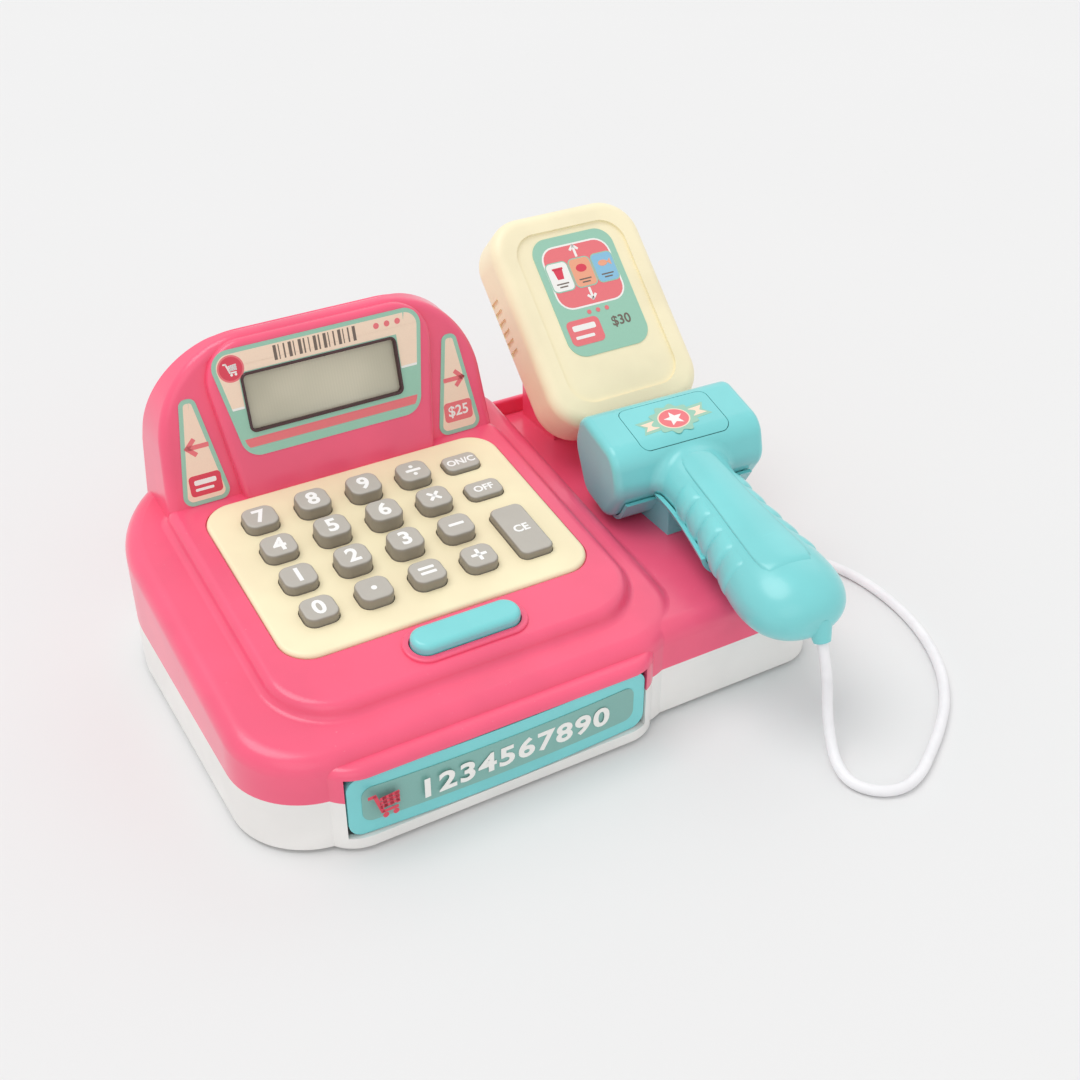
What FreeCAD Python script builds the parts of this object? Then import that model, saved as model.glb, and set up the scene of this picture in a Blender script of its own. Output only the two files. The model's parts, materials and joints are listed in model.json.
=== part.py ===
import FreeCAD, Part
import Sketcher
import math
import os
import re

# Toy cash register: a white base with a pink housing, a keypad, a display hood, a sprung money drawer,
# a side tray with a price screen, and a hand scanner that rests in a cradle on a cord.
# Millimetres. Origin on the table under the middle of the base, +X to the right, +Y to the back, +Z up.

Vector = FreeCAD.Vector
Rotation = FreeCAD.Rotation
X_AXIS, Y_AXIS, Z_AXIS = Vector(1, 0, 0), Vector(0, 1, 0), Vector(0, 0, 1)

doc = FreeCAD.newDocument("ToyCashRegister")
sheet = doc.addObject("Spreadsheet::Sheet", "Dims")

DIMENSIONS = {
    # base and housing
    "base_width": 238, "base_depth": 176, "housing_front": -90.5, "tray_left": 36,
    "foot_height": 1.6, "seam_height": 22.5, "wall": 2.4,
    "corner_front": 30, "corner_rear": 56, "corner_inner": 20, "corner_tray": 17, "corner_tray_rear": 22,
    "housing_width": 176, "housing_edge": 7, "keypad_tilt": 7.215,
    "tray_height": 40.5, "tray_edge": 7, "tray_wall_rise": 6.5, "tray_wall": 3,
    "frame_left": -97, "frame_right": 39, "frame_depth": 6, "frame_top": 36, "frame_corner": 16,
    "frame_edge": 3.5,
    # raised step that carries the keypad
    "middle": -27.5, "step_width": 144, "step_front": -75, "step_back": 52, "step_rise": 5.2,
    "step_corner": 24, "step_edge": 4, "step_foot": 3, "tray_foot": 3,
    # keypad
    "plate_width": 124.6, "plate_depth": 91.6, "plate_thick": 2.4, "plate_proud": 1.4,
    "plate_corner": 12, "plate_edge": 1.6, "plate_middle_y": -4.9, "plate_middle_z": 57.3,
    "key_width": 13.2, "key_depth": 12.2, "key_corner": 4, "key_edge": 1.1,
    "key_pitch_x": 21.5, "key_pitch_y": 18.6, "key_column": -43.4, "key_row": 28.6,
    "key_low": 3.2, "key_dome": 3.0, "key_flange": 0.9, "key_flange_thick": 1.2, "key_gap": 0.35,
    "key_travel": 1.6, "wide_key_width": 15.2, "wide_key_depth": 9.8, "tall_key_depth": 29,
    "wide_key_rise": 2.2, "wide_key_x": 44.0, "tall_key_width": 14, "side_corner": 3.2,
    "mat_thick": 1.2, "board_thick": 1.6, "board_width": 126.6, "board_depth": 82,
    # drawer release
    "button_length": 43, "button_depth": 12, "button_rise": 5.2, "button_y": -61.5, "button_gap": 0.4,
    "rim_wall": 2.4, "rim_rise": 1.2,
    "latch_pin_y": -72, "latch_pin_z": 35, "latch_pin_radius": 1.2, "latch_width": 6,
    # drawer
    "drawer_width": 113, "drawer_length": 128, "drawer_height": 20.5, "drawer_wall": 1.8,
    "drawer_bottom": 8.2, "drawer_middle": -30, "front_width": 118.5, "front_height": 25.6,
    "front_bottom": 6.6, "front_thick": 3, "front_face": -96.5, "front_corner": 5.5,
    # display hood
    "hood_middle": -27.5, "hood_half_foot": 72.5, "hood_half_top": 65.5, "hood_ridge_y": 59.5,
    "hood_top": 122, "hood_shoulder": 40, "hood_edge": 4, "face_lean": 14.3, "face_foot_y": 40.6,
    "face_foot_z": 61, "side_setback": 4.6, "ridge_depth": 7, "hood_back_foot": 85,
    "block_half_top": 49, "block_half_foot": 39.5, "block_corner": 13, "block_depth": 16,
    "block_edge": 2.6, "cover_thick": 7,
    "window_width": 63.5, "window_height": 22, "window_corner": 2, "window_x": -1.6, "window_up": 38.2,
    "lens_thick": 1.2, "lens_setback": 1.4,
    # price screen
    "screen_width": 72.5, "screen_length": 97, "screen_corner": 17, "screen_tilt": 43.5,
    "screen_back": 13, "screen_front": 10.5, "screen_x": 96.8, "screen_y": 57.4, "screen_z": 92.5,
    "screen_edge": 5, "screen_recess": 1.2,
    # scanner
    "head_width": 67, "head_x": 93, "head_y": -13, "head_z": 64, "head_depth": 41,
    "head_height": 35, "grip_drop": 7, "grip_turn": 6, "scanner_roll": 2.5, "scanner_seam": -4,
    "shell": 2, "neck_round": 5, "gland_length": 9, "cradle_gap": 0.5, "cradle_skin": 1.8,
    "cord_diameter": 4.1, "cord_exit_y": -13, "cord_exit_z": 9, "grommet_radius": 4.2,
    # printed labels
    "label_thick": 0.3,
}


def fill_sheet():
    for row, (name, value) in enumerate(DIMENSIONS.items(), start=1):
        sheet.set("A%d" % row, name)
        sheet.set("B%d" % row, str(value))
        sheet.setAlias("B%d" % row, name)
    doc.recompute()


def dim(name):
    return float(sheet.get(name))


def bind(obj, **formulas):
    """Ties properties to the sheet; a formula is written with the sheet's own words."""
    for prop, formula in formulas.items():
        text = re.sub(r"[a-z][a-z_]*", lambda m: "Dims." + m.group(0) if m.group(0) in DIMENSIONS
                      else m.group(0), str(formula))
        obj.setExpression(prop.replace("__", "."), text)
    return obj


def place(obj, base=(0, 0, 0), axis=Z_AXIS, angle=0):
    obj.Placement = FreeCAD.Placement(Vector(*base), Rotation(axis, angle))
    return obj


# ---------------------------------------------------------------- outlines

def outline(corners):
    """Closed edges through corners (x, y, radius), each corner rounded by its radius."""
    count = len(corners)
    points = [Vector(x, y, 0) for x, y, _ in corners]
    arcs = []
    for i, (x, y, radius) in enumerate(corners):
        to_last = (points[i - 1] - points[i]).normalize()
        to_next = (points[(i + 1) % count] - points[i]).normalize()
        half = to_last.getAngle(to_next) / 2
        cut = radius / math.tan(half)
        bisector = (to_last + to_next).normalize()
        centre = points[i] + bisector * (radius / math.sin(half))
        arcs.append((points[i] + to_last * cut, centre - bisector * radius, points[i] + to_next * cut))
    edges = []
    for i, (start, middle, end) in enumerate(arcs):
        if start.distanceToPoint(end) > 1e-6:
            edges.append(Part.Arc(start, middle, end))
        following = arcs[(i + 1) % count][0]
        if end.distanceToPoint(following) > 1e-6:
            edges.append(Part.LineSegment(end, following))
    return edges


def rectangle(x0, y0, x1, y1, radii):
    if not isinstance(radii, (tuple, list)):
        radii = (radii,) * 4
    return outline([(x0, y0, radii[0]), (x1, y0, radii[1]), (x1, y1, radii[2]), (x0, y1, radii[3])])


def face_of(edges):
    return Part.Face(Part.Wire(Part.__sortEdges__([e.toShape() for e in edges])))


# ---------------------------------------------------------------- features

def new_body(label):
    body = doc.addObject("PartDesign::Body", label)
    body.Label = label
    return body


def origin_plane(body, role):
    return next(f for f in body.Origin.OriginFeatures if f.Role == role)


def sketch_on(body, name, role="XY_Plane", lift=0):
    sketch = body.newObject("Sketcher::SketchObject", body.Name + "_" + name)
    sketch.AttachmentSupport = [(origin_plane(body, role), "")]
    sketch.MapMode = "FlatFace"
    sketch.AttachmentOffset = FreeCAD.Placement(Vector(0, 0, lift), Rotation())
    return sketch


def closed_sketch(body, name, *loops, role="XY_Plane", lift=0):
    sketch = sketch_on(body, name, role, lift)
    for loop in loops:
        sketch.addGeometry(loop, False)
    return sketch


def centred_rectangle(body, name, width, depth):
    """A constrained rectangle about the origin, its two sizes bound to the sheet."""
    sketch = sketch_on(body, name)
    x, y = 10.0, 8.0
    points = [Vector(-x, -y, 0), Vector(x, -y, 0), Vector(x, y, 0), Vector(-x, y, 0)]
    for i in range(4):
        sketch.addGeometry(Part.LineSegment(points[i], points[(i + 1) % 4]), False)
    for i in range(4):
        sketch.addConstraint(Sketcher.Constraint("Coincident", i, 2, (i + 1) % 4, 1))
    for i in (0, 2):
        sketch.addConstraint(Sketcher.Constraint("Horizontal", i))
    for i in (1, 3):
        sketch.addConstraint(Sketcher.Constraint("Vertical", i))
    sketch.addConstraint(Sketcher.Constraint("Symmetric", 0, 1, 1, 2, -1, 1))
    across = sketch.addConstraint(Sketcher.Constraint("DistanceX", 0, 1, 0, 2, 2 * x))
    along = sketch.addConstraint(Sketcher.Constraint("DistanceY", 1, 1, 1, 2, 2 * y))
    sketch.renameConstraint(across, "width")
    sketch.renameConstraint(along, "depth")
    bind(sketch, Constraints__width=width, Constraints__depth=depth)
    return sketch


def pad(body, sketch, length, reversed_=False, midplane=False):
    feature = body.newObject("PartDesign::Pad", sketch.Name + "_pad")
    feature.Profile = sketch
    bind(feature, Length=length)
    feature.Reversed = reversed_
    feature.Midplane = midplane
    sketch.Visibility = False
    doc.recompute()
    return feature


def pocket_through(body, sketch):
    before = body.Shape.Volume
    feature = body.newObject("PartDesign::Pocket", sketch.Name + "_pocket")
    feature.Profile = sketch
    feature.Type = 1
    feature.Midplane = True
    doc.recompute()
    if body.Shape.Volume >= before - 1e-6:
        raise RuntimeError("pocket %s cuts nothing" % feature.Name)
    return feature


def fillet(body, radius, test):
    doc.recompute()
    names = ["Edge%d" % (i + 1) for i, edge in enumerate(body.Tip.Shape.Edges) if test(edge)]
    base = body.Tip
    feature = body.newObject("PartDesign::Fillet", "%s_fillet%d" % (body.Name, len(body.Group)))
    feature.Base = (base, names)
    bind(feature, Radius=radius)
    body.Tip = feature
    doc.recompute()
    return feature


def is_vertical(edge):
    return edge.Curve.TypeId == "Part::GeomLine" and abs(edge.tangentAt(edge.FirstParameter).z) > 0.99


def at_height(low, high):
    return lambda edge: low <= edge.BoundBox.ZMin and edge.BoundBox.ZMax <= high


def block(label, width, depth, height, corner=None, edge=None, base=(0, 0, 0), axis=Z_AXIS, angle=0):
    """A moulded block standing on its local XY plane, with rounded corners and a rounded top edge."""
    body = new_body(label)
    feature = pad(body, centred_rectangle(body, "outline", width, depth), height)
    if corner:
        fillet(body, corner, is_vertical)
    if edge:
        top = feature.Length.Value
        fillet(body, edge, at_height(top - 1e-4, top + 1e-4))
    return place(body, base, axis, angle)


def box(name, size, base, axis=Z_AXIS, angle=0):
    obj = doc.addObject("Part::Box", name)
    bind(obj, Length=size[0], Width=size[1], Height=size[2])
    return place(obj, base, axis, angle)


def cylinder(name, radius, height, base, axis=Z_AXIS, angle=0):
    obj = doc.addObject("Part::Cylinder", name)
    bind(obj, Radius=radius, Height=height)
    return place(obj, base, axis, angle)


def solid(name, shape, base=(0, 0, 0), axis=Z_AXIS, angle=0):
    obj = doc.addObject("Part::Feature", name)
    obj.Label = name
    obj.Shape = shape
    return place(obj, base, axis, angle)


def join(name, parts):
    obj = doc.addObject("Part::MultiFuse", name)
    obj.Shapes = parts
    obj.Refine = True
    obj.Label = name
    return obj


def cut(name, base, tools):
    obj = doc.addObject("Part::Cut", name)
    obj.Base = base
    obj.Tool = tools[0] if len(tools) == 1 else join(name + "_tools", tools)
    obj.Label = name
    return obj


def common(name, first, second):
    obj = doc.addObject("Part::Common", name)
    obj.Base = first
    obj.Tool = second
    obj.Label = name
    return obj


def round_edges(name, base, groups):
    """Rounds the edges of a base; each group is a test of an edge's points and the radius's name."""
    doc.recompute()
    chosen = []
    for number, edge in enumerate(base.Shape.Edges, start=1):
        span = edge.LastParameter - edge.FirstParameter
        points = [edge.valueAt(edge.FirstParameter + span * k / 4) for k in range(5)]
        for test, radius in groups:
            if all(test(p) for p in points):
                chosen.append((number, dim(radius), dim(radius)))
    rounded = doc.addObject("Part::Fillet", name)
    rounded.Base = base
    rounded.Edges = chosen
    return rounded


# ---------------------------------------------------------------- base and housing

def tray_corners(inset=0.0):
    """The side tray's plan, which runs in under the housing."""
    half, deep = dim("base_width") / 2 - inset, dim("base_depth") / 2 - inset
    return rectangle(dim("tray_left") + inset, -deep, half, deep, [max(r - inset, 1) for r in (
        1, dim("corner_tray"), dim("corner_tray_rear"), 1)])


def frame_corners(inset=0.0):
    """The drawer surround that stands out of the front."""
    front = dim("housing_front") - dim("frame_depth") + inset
    left, right = dim("frame_left") + inset, dim("frame_right") - inset
    return rectangle(left, front, right, front + 40, [max(dim("frame_corner") - inset, 1)] * 2 + [3, 3])


def housing_corners(inset=0.0):
    left, deep = -dim("base_width") / 2 + inset, dim("base_depth") / 2 - inset
    right = left + dim("housing_width") - 2 * inset
    return rectangle(left, dim("housing_front") + inset, right, deep, [max(r - inset, 1) for r in (
        dim("corner_front"), dim("corner_front") - 3, dim("corner_inner"), dim("corner_rear"))])


def step_corners(inset=0.0):
    half = dim("step_width") / 2 - inset
    radius = dim("step_corner") - inset
    return rectangle(dim("middle") - half, dim("step_front") + inset, dim("middle") + half,
                     dim("step_back") - inset, (radius, radius, 8, 8))


def slope_height(y, above):
    """Height of a surface parallel to the keypad, given how far it lies above the plate's foot."""
    slope = math.tan(math.radians(dim("keypad_tilt")))
    return dim("plate_middle_z") + (y - dim("plate_middle_y")) * slope + above


def sloped_body(label, corners, bottom, above, edge):
    """A block whose top is parallel to the keypad, with a rounded top edge."""
    body = new_body(label)
    feature = pad(body, closed_sketch(body, "outline", corners, lift=bottom), 90)
    near, far = -150.0, 150.0
    sky = 200.0
    profile = [Vector(near, slope_height(near, above), 0), Vector(far, slope_height(far, above), 0),
               Vector(far, sky, 0), Vector(near, sky, 0)]
    loop = [Part.LineSegment(profile[i], profile[(i + 1) % 4]) for i in range(4)]
    pocket_through(body, closed_sketch(body, "slope", loop, role="YZ_Plane"))
    if edge:
        fillet(body, edge, lambda e: e.CenterOfMass.z > bottom + 3 and not is_vertical(e)
               and abs(e.CenterOfMass.z - slope_height(e.CenterOfMass.y, above)) < 0.6)
    return body


def flat_body(label, corners, bottom, height, edge=None):
    body = new_body(label)
    pad(body, closed_sketch(body, "outline", corners, lift=bottom), height - bottom)
    if edge:
        fillet(body, edge, at_height(height - 1e-4, height + 1e-4))
    return body


def keypad_point(x, along, rise):
    """A point of the keypad's own frame: along runs up the slope, rise is square to it."""
    tilt = math.radians(dim("keypad_tilt"))
    return Vector(dim("middle") + 1.0 + x,
                  dim("plate_middle_y") + along * math.cos(tilt) - rise * math.sin(tilt),
                  dim("plate_middle_z") + along * math.sin(tilt) + rise * math.cos(tilt))


def on_keypad(obj, x=0.0, along=0.0, rise=0.0):
    return place(obj, keypad_point(x, along, rise), X_AXIS, dim("keypad_tilt"))


def top_housing():
    wall, seam, low = dim("wall"), dim("seam_height"), dim("seam_height") - 6
    step_top = -dim("plate_proud")
    deck = step_top - dim("step_rise")
    outer = [
        sloped_body("housing_deck", housing_corners(), seam, deck, "housing_edge"),
        sloped_body("housing_step", step_corners(), seam + 6, step_top, "step_edge"),
        flat_body("housing_tray", tray_corners(), seam, dim("tray_height"), "tray_edge"),
        flat_body("housing_frame", frame_corners(), seam, dim("frame_top"), "frame_edge"),
    ]
    back = dim("base_depth") / 2
    right = dim("base_width") / 2
    rail, rail_foot = dim("tray_wall"), 4
    outer.append(block("housing_tray_wall", 128, "tray_wall", "tray_wall_rise + %g" % rail_foot, edge=1.2,
                       base=(right - 85, back - rail / 2 - 1, dim("tray_height") - rail_foot)))
    inner = [
        sloped_body("hollow_deck", housing_corners(wall), low, deck - wall, None),
        sloped_body("hollow_step", step_corners(wall), low, step_top - wall, None),
        flat_body("hollow_tray", tray_corners(wall), low, dim("tray_height") - wall),
        flat_body("hollow_frame", frame_corners(wall), low, dim("frame_top") - wall),
    ]
    half_step = dim("step_width") / 2
    near = 0.1

    def on_step_foot(p):
        return (abs(p.z - slope_height(p.y, deck)) < near and abs(p.x - dim("middle")) < half_step + near
                and dim("step_front") - near < p.y < dim("step_back") + near)

    def on_tray_foot(p):
        deck_right = dim("housing_width") - dim("base_width") / 2
        return abs(p.z - dim("tray_height")) < near and p.x < deck_right + near

    outside = round_edges("housing_outside", join("housing_blocks", outer),
                          [(on_step_foot, "step_foot"), (on_tray_foot, "tray_foot")])
    shell = cut("housing_shell", outside, [join("housing_inside", inner)])
    recess = on_keypad(block("plate_recess", "plate_width + 0.8", "plate_depth + 0.8", 20,
                             corner="plate_corner"), rise=-dim("plate_thick"))
    well = on_keypad(block("key_well", "plate_width - 8", "plate_depth - 8", 20, corner=8), rise=-15)
    slot = on_keypad(block("button_slot", "button_length + 2 * button_gap", "button_depth + 2 * button_gap",
                           20, corner="button_depth / 2"), along=button_along(), rise=-12)
    mouth_foot = seam - 1
    mouth = box("drawer_mouth", ("front_width + 1", 40, dim("front_bottom") + dim("front_height") + 0.5
                                 - mouth_foot), (drawer_left(0.5), -110, mouth_foot))
    wires = box("wire_hole", (40, 16, 30), (dim("middle") - 20, 60, 45))
    socket = cylinder("tray_socket", 4, 20, (dim("screen_x"), dim("screen_y"), 30))
    opened = cut("housing_opened", shell, [recess, well, slot, mouth, wires, socket])
    return join("top_housing", [opened, button_rim()] + board_posts() + latch_lugs())


def button_rim():
    """The raised rim around the release button's slot."""
    rim = block("rim_form", "button_length + 2 * rim_wall + 2 * button_gap",
                "button_depth + 2 * rim_wall + 2 * button_gap", "rim_rise",
                corner="button_depth / 2 + rim_wall", edge=0.7)
    on_keypad(rim, along=button_along(), rise=-dim("plate_proud"))
    hole = block("rim_hole", "button_length + 2 * button_gap", "button_depth + 2 * button_gap", 12,
                 corner="button_depth / 2")
    on_keypad(hole, along=button_along(), rise=-6)
    return cut("button_rim", rim, [hole])


def board_posts():
    """Short posts under the step that the key board is held against."""
    foot = key_mat_depth() - dim("mat_thick")
    length = -foot - dim("plate_proud") - dim("wall") + 0.5
    posts = []
    for i, (across, along) in enumerate([(-60.9, -30), (60.9, -30), (-60.9, 30), (60.9, 30)]):
        posts.append(on_keypad(cylinder("board_post_%d" % i, 2.1, length, (0, 0, 0)), across, along, foot))
    return posts


def latch_lugs():
    """Two lugs behind the step's front that carry the latch pin."""
    middle, half = dim("middle") + 1, dim("latch_width") / 2 + 0.5
    lugs = []
    for i, left in enumerate((middle - half - 2, middle + half)):
        lug = box("latch_lug_form_%d" % i, (2, 5, 11), (left, dim("latch_pin_y") - 2.5, dim("latch_pin_z") - 2.5))
        bore = cylinder("latch_lug_bore_%d" % i, "latch_pin_radius", 3,
                        (left - 0.5, dim("latch_pin_y"), dim("latch_pin_z")), Y_AXIS, 90)
        lugs.append(cut("latch_lug_%d" % i, lug, [bore]))
    return lugs


def drawer_left(spare=0.0):
    return dim("drawer_middle") - dim("front_width") / 2 - spare


def button_along():
    tilt = math.radians(dim("keypad_tilt"))
    return (dim("button_y") - dim("plate_middle_y")) / math.cos(tilt)


SCREW_POSTS = [(-98, -58), (-100, 68), (48, 68), (48, -66), (104, -62), (104, 68)]


def base_shell():
    foot, wall, seam = dim("foot_height"), dim("wall"), dim("seam_height")
    plans = [("main", housing_corners), ("tray", tray_corners), ("front", frame_corners)]
    outer = join("base_outside", [flat_body("base_" + name, plan(), foot, seam) for name, plan in plans])
    inside = [flat_body("base_hollow_" + name, plan(wall), foot + wall, seam + 5) for name, plan in plans]
    shell = cut("base_walls", outer, inside)
    mouth = box("base_mouth", ("front_width + 1", 30, 30),
                (drawer_left(0.5), -110, dim("front_bottom") - 0.5))
    posts = [cylinder("post_%d" % i, 4, "seam_height - foot_height", (x, y, foot))
             for i, (x, y) in enumerate(SCREW_POSTS)]
    rails = [box("rail_%d" % i, (2, 118, 12), (x, -62, foot + 1))
             for i, x in enumerate((dim("drawer_middle") - dim("drawer_width") / 2 - 2.6,
                                    dim("drawer_middle") + dim("drawer_width") / 2 + 0.6))]
    runners = [box("runner_%d" % i, (3, 96, dim("drawer_bottom") - foot - 1.2), (x, -60, foot + 1))
               for i, x in enumerate((dim("drawer_middle") - 34, dim("drawer_middle") + 31))]
    battery_walls = [box("battery_wall_%d" % i, (58, 1.6, 17), (56, y, foot + 1))
                     for i, y in enumerate((-27.6, 24.4))]
    stop = box("spring_stop", (30, 2, 24), (dim("drawer_middle") - 15, drawer_back() + 17.7, foot + 1))
    ribs = posts + rails + runners + battery_walls + [stop]
    filled = join("base_ribs", [cut("base_open", shell, [mouth])] + ribs)
    tools = [cylinder("screw_way_%d" % i, 1.9, 30, (x, y, 0)) for i, (x, y) in enumerate(SCREW_POSTS)]
    tools += [cylinder("screw_sink_%d" % i, 3.2, 4, (x, y, 0)) for i, (x, y) in enumerate(SCREW_POSTS)]
    tools.append(box("battery_hatch", (54.8, 48.8, 6), (57.6, -25.4, 0)))
    tools += [box("sound_slot_%d" % i, (26, 1.8, 8), (67, 46 + 4 * i, 0)) for i in range(5)]
    tools.append(cylinder("cord_way", "grommet_radius", 8, cord_exit(-6), Y_AXIS, 90))
    return cut("base_shell", filled, tools)


def feet():
    places = [(-96, -70), (88, -72), (-98, 46), (88, 74), (0, 0)]
    pads = [cylinder("foot_%d" % i, 7, "foot_height", (x, y, 0)) for i, (x, y) in enumerate(places)]
    return join("rubber_feet", pads)


def screws():
    parts = []
    for i, (x, y) in enumerate(SCREW_POSTS):
        parts.append(cylinder("screw_head_%d" % i, 2.9, 1.8, (x, y, 2.1)))
        parts.append(cylinder("screw_shank_%d" % i, 1.3, 14, (x, y, 3.9)))
    return join("case_screws", parts)


def battery_parts():
    door = block("battery_door", 54, 48, 2.2, corner=2, base=(85, -1, 2.1))
    cells = []
    contacts = []
    for i, y in enumerate((-16.4, -1.0, 14.4)):
        cells.append(cylinder("cell_%d" % i, 7.1, 49.5, (60, y, 12.4), Y_AXIS, 90))
        cells.append(cylinder("cell_tip_%d" % i, 2.6, 1.0, (109.5, y, 12.4), Y_AXIS, 90))
        contacts.append(box("contact_left_%d" % i, (0.8, 10, 11), (58.8, y - 5, 6.5)))
        contacts.append(box("contact_right_%d" % i, (0.8, 10, 11), (110.8, y - 5, 6.5)))
    return [door, join("batteries", cells), join("battery_contacts", contacts)]


# ---------------------------------------------------------------- keypad

KEY_NAMES = [["key_7", "key_8", "key_9", "key_divide"], ["key_4", "key_5", "key_6", "key_times"],
             ["key_1", "key_2", "key_3", "key_minus"], ["key_0", "key_point", "key_equals", "key_plus"]]


def key_layout():
    """Every key as name, centre across, centre along, width, depth, height over the plate."""
    keys = []
    for row in range(4):
        for column in range(4):
            crown = (1 - ((column - 1.7) / 2.1) ** 2) * (1 - ((row - 1.2) / 2.4) ** 2)
            rise = dim("key_low") + dim("key_dome") * max(crown, 0)
            keys.append((KEY_NAMES[row][column], dim("key_column") + column * dim("key_pitch_x"),
                         dim("key_row") - row * dim("key_pitch_y"), "key_width", "key_depth", rise))
    side = dim("wide_key_x")
    keys.append(("key_on_clear", side - 1.5, dim("key_row") + 0.1, "wide_key_width", "wide_key_depth",
                 dim("wide_key_rise")))
    keys.append(("key_off", side - 1.2, dim("key_row") - dim("key_pitch_y") - 0.4, "wide_key_width",
                 "wide_key_depth", dim("wide_key_rise")))
    keys.append(("key_clear_entry", side - 0.4, dim("key_row") - 2.5 * dim("key_pitch_y") - 1.6,
                 "tall_key_width", "tall_key_depth", dim("key_low")))
    return keys


def keypad_plate():
    body = new_body("keypad_plate")
    pad(body, centred_rectangle(body, "outline", "plate_width", "plate_depth"), "plate_thick")
    fillet(body, "plate_corner", is_vertical)
    top = dim("plate_thick")
    fillet(body, "plate_edge", at_height(top - 1e-4, top + 1e-4))
    loops = []
    gap = dim("key_gap")
    for _, x, along, width, depth, _ in key_layout():
        half_x, half_y = dim(width) / 2 + gap, dim(depth) / 2 + gap
        loops.append(rectangle(x - half_x, along - half_y, x + half_x, along + half_y,
                               dim("key_corner" if depth == "key_depth" else "side_corner") + gap))
    holes = sketch_on(body, "key_holes")
    for loop in loops:
        holes.addGeometry(loop, False)
    pocket_through(body, holes)
    return on_keypad(body, rise=-dim("plate_thick"))


def key(name, x, along, width, depth, rise):
    flange_top = -dim("plate_thick") - 0.1
    corner = "key_corner" if depth == "key_depth" else "side_corner"
    cap = block(name + "_cap", width, depth, rise - flange_top, corner=corner, edge="key_edge")
    cap = on_keypad(cap, x, along, flange_top)
    flange = block(name + "_flange", width + " + 2 * key_flange", depth + " + 2 * key_flange",
                   "key_flange_thick", corner=corner)
    flange = on_keypad(flange, x, along, flange_top - dim("key_flange_thick"))
    return join(name, [cap, flange])


def key_mat_depth():
    """Rise of the rubber mat's top: a full press of the keys stays clear of it."""
    return -dim("plate_thick") - 0.1 - dim("key_flange_thick") - dim("key_travel") - 0.4


def keypad_inside():
    mat = block("rubber_key_mat", "plate_width - 12", "plate_depth - 12", "mat_thick", corner=6)
    on_keypad(mat, rise=key_mat_depth() - dim("mat_thick"))
    board = block("key_board", "board_width", "board_depth", "board_thick", corner=2)
    on_keypad(board, rise=key_mat_depth() - dim("mat_thick") - dim("board_thick"))
    return [mat, board]


# ---------------------------------------------------------------- drawer release

def release_button():
    button = block("release_cap", "button_length", "button_depth", "button_rise + 5.4",
                   corner="button_depth / 2 - 0.2", edge=2.2)
    on_keypad(button, along=button_along(), rise=-dim("plate_proud") - 5.4)
    stem = block("release_stem", 5, 4, 6)
    on_keypad(stem, along=button_along(), rise=-dim("plate_proud") - 11.2)
    flange = block("release_flange", "button_length + 4", "button_depth + 2.4", 1.2, corner=5)
    on_keypad(flange, along=button_along(), rise=-dim("plate_proud") - dim("wall") - 0.4 - 1.2)
    return join("release_button", [button, stem, flange])


def latch_parts():
    """A rocking latch under the release button and the pin that it turns on."""
    pin_y, pin_z, width = dim("latch_pin_y"), dim("latch_pin_z"), dim("latch_width")
    left = dim("middle") + 1 - width / 2
    front, rear, thick = 7.0, 16.0, 3.0
    arm = box("latch_arm", ("latch_width", front + rear, thick), (left, pin_y - front, pin_z - thick / 2))
    hub = cylinder("latch_hub", 2.4, "latch_width", (left, pin_y, pin_z), Y_AXIS, 90)
    hook = box("latch_hook", ("latch_width", 2.4, 6), (left, pin_y - front, pin_z - 5.6))
    bore = cylinder("latch_bore", "latch_pin_radius + 0.05", 8, (left - 1, pin_y, pin_z), Y_AXIS, 90)
    pin = cylinder("latch_pin", "latch_pin_radius", 12, (left - 3, pin_y, pin_z), Y_AXIS, 90)
    pin.Label = "latch_pin"
    return [cut("drawer_latch", join("latch_form", [arm, hub, hook]), [bore]), pin]


# ---------------------------------------------------------------- drawer

def drawer_box():
    left = dim("drawer_middle") - dim("drawer_width") / 2
    bottom, wall = dim("drawer_bottom"), dim("drawer_wall")
    back = drawer_back()
    body = block("drawer_form", "drawer_width", "drawer_length", "drawer_height", corner=3,
                 base=(dim("drawer_middle"), back - dim("drawer_length") / 2, bottom))
    inner_width = dim("drawer_width") - 2 * wall
    front = back - dim("drawer_length") + wall
    coin_depth = 40.0
    bays = []
    coin_width = (inner_width - 3 * wall) / 4
    for i in range(4):
        bays.append(box("coin_bay_%d" % i, (coin_width, coin_depth, "drawer_height"),
                        (left + wall + i * (coin_width + wall), front, bottom + wall)))
    note_width = (inner_width - wall) / 2
    note_depth = dim("drawer_length") - coin_depth - 3 * wall
    for i in range(2):
        bays.append(box("note_bay_%d" % i, (note_width, note_depth, "drawer_height"),
                        (left + wall + i * (note_width + wall), front + coin_depth + wall,
                         bottom + wall)))
    return cut("drawer_box", body, bays)


def drawer_back():
    return dim("front_face") + dim("front_thick") + 2.4 + dim("drawer_length")


def front_panel(name, width, height, thick, proud, radius, middle_z):
    """A rounded panel across the drawer's front, bowed outwards along a large arc."""
    bow = 800.0
    prism = block(name + "_prism", width, height, 30, corner=radius,
                  base=(dim("drawer_middle"), dim("front_face") + 15, middle_z), axis=X_AXIS, angle=90)
    centre_y = dim("front_face") - proud + bow
    outer = cylinder(name + "_bow", bow, 60, (dim("drawer_middle"), centre_y, middle_z - 30))
    inner = cylinder(name + "_back", bow - thick, 60, (dim("drawer_middle"), centre_y, middle_z - 30))
    return common(name, prism, cut(name + "_skin", outer, [inner]))


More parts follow.
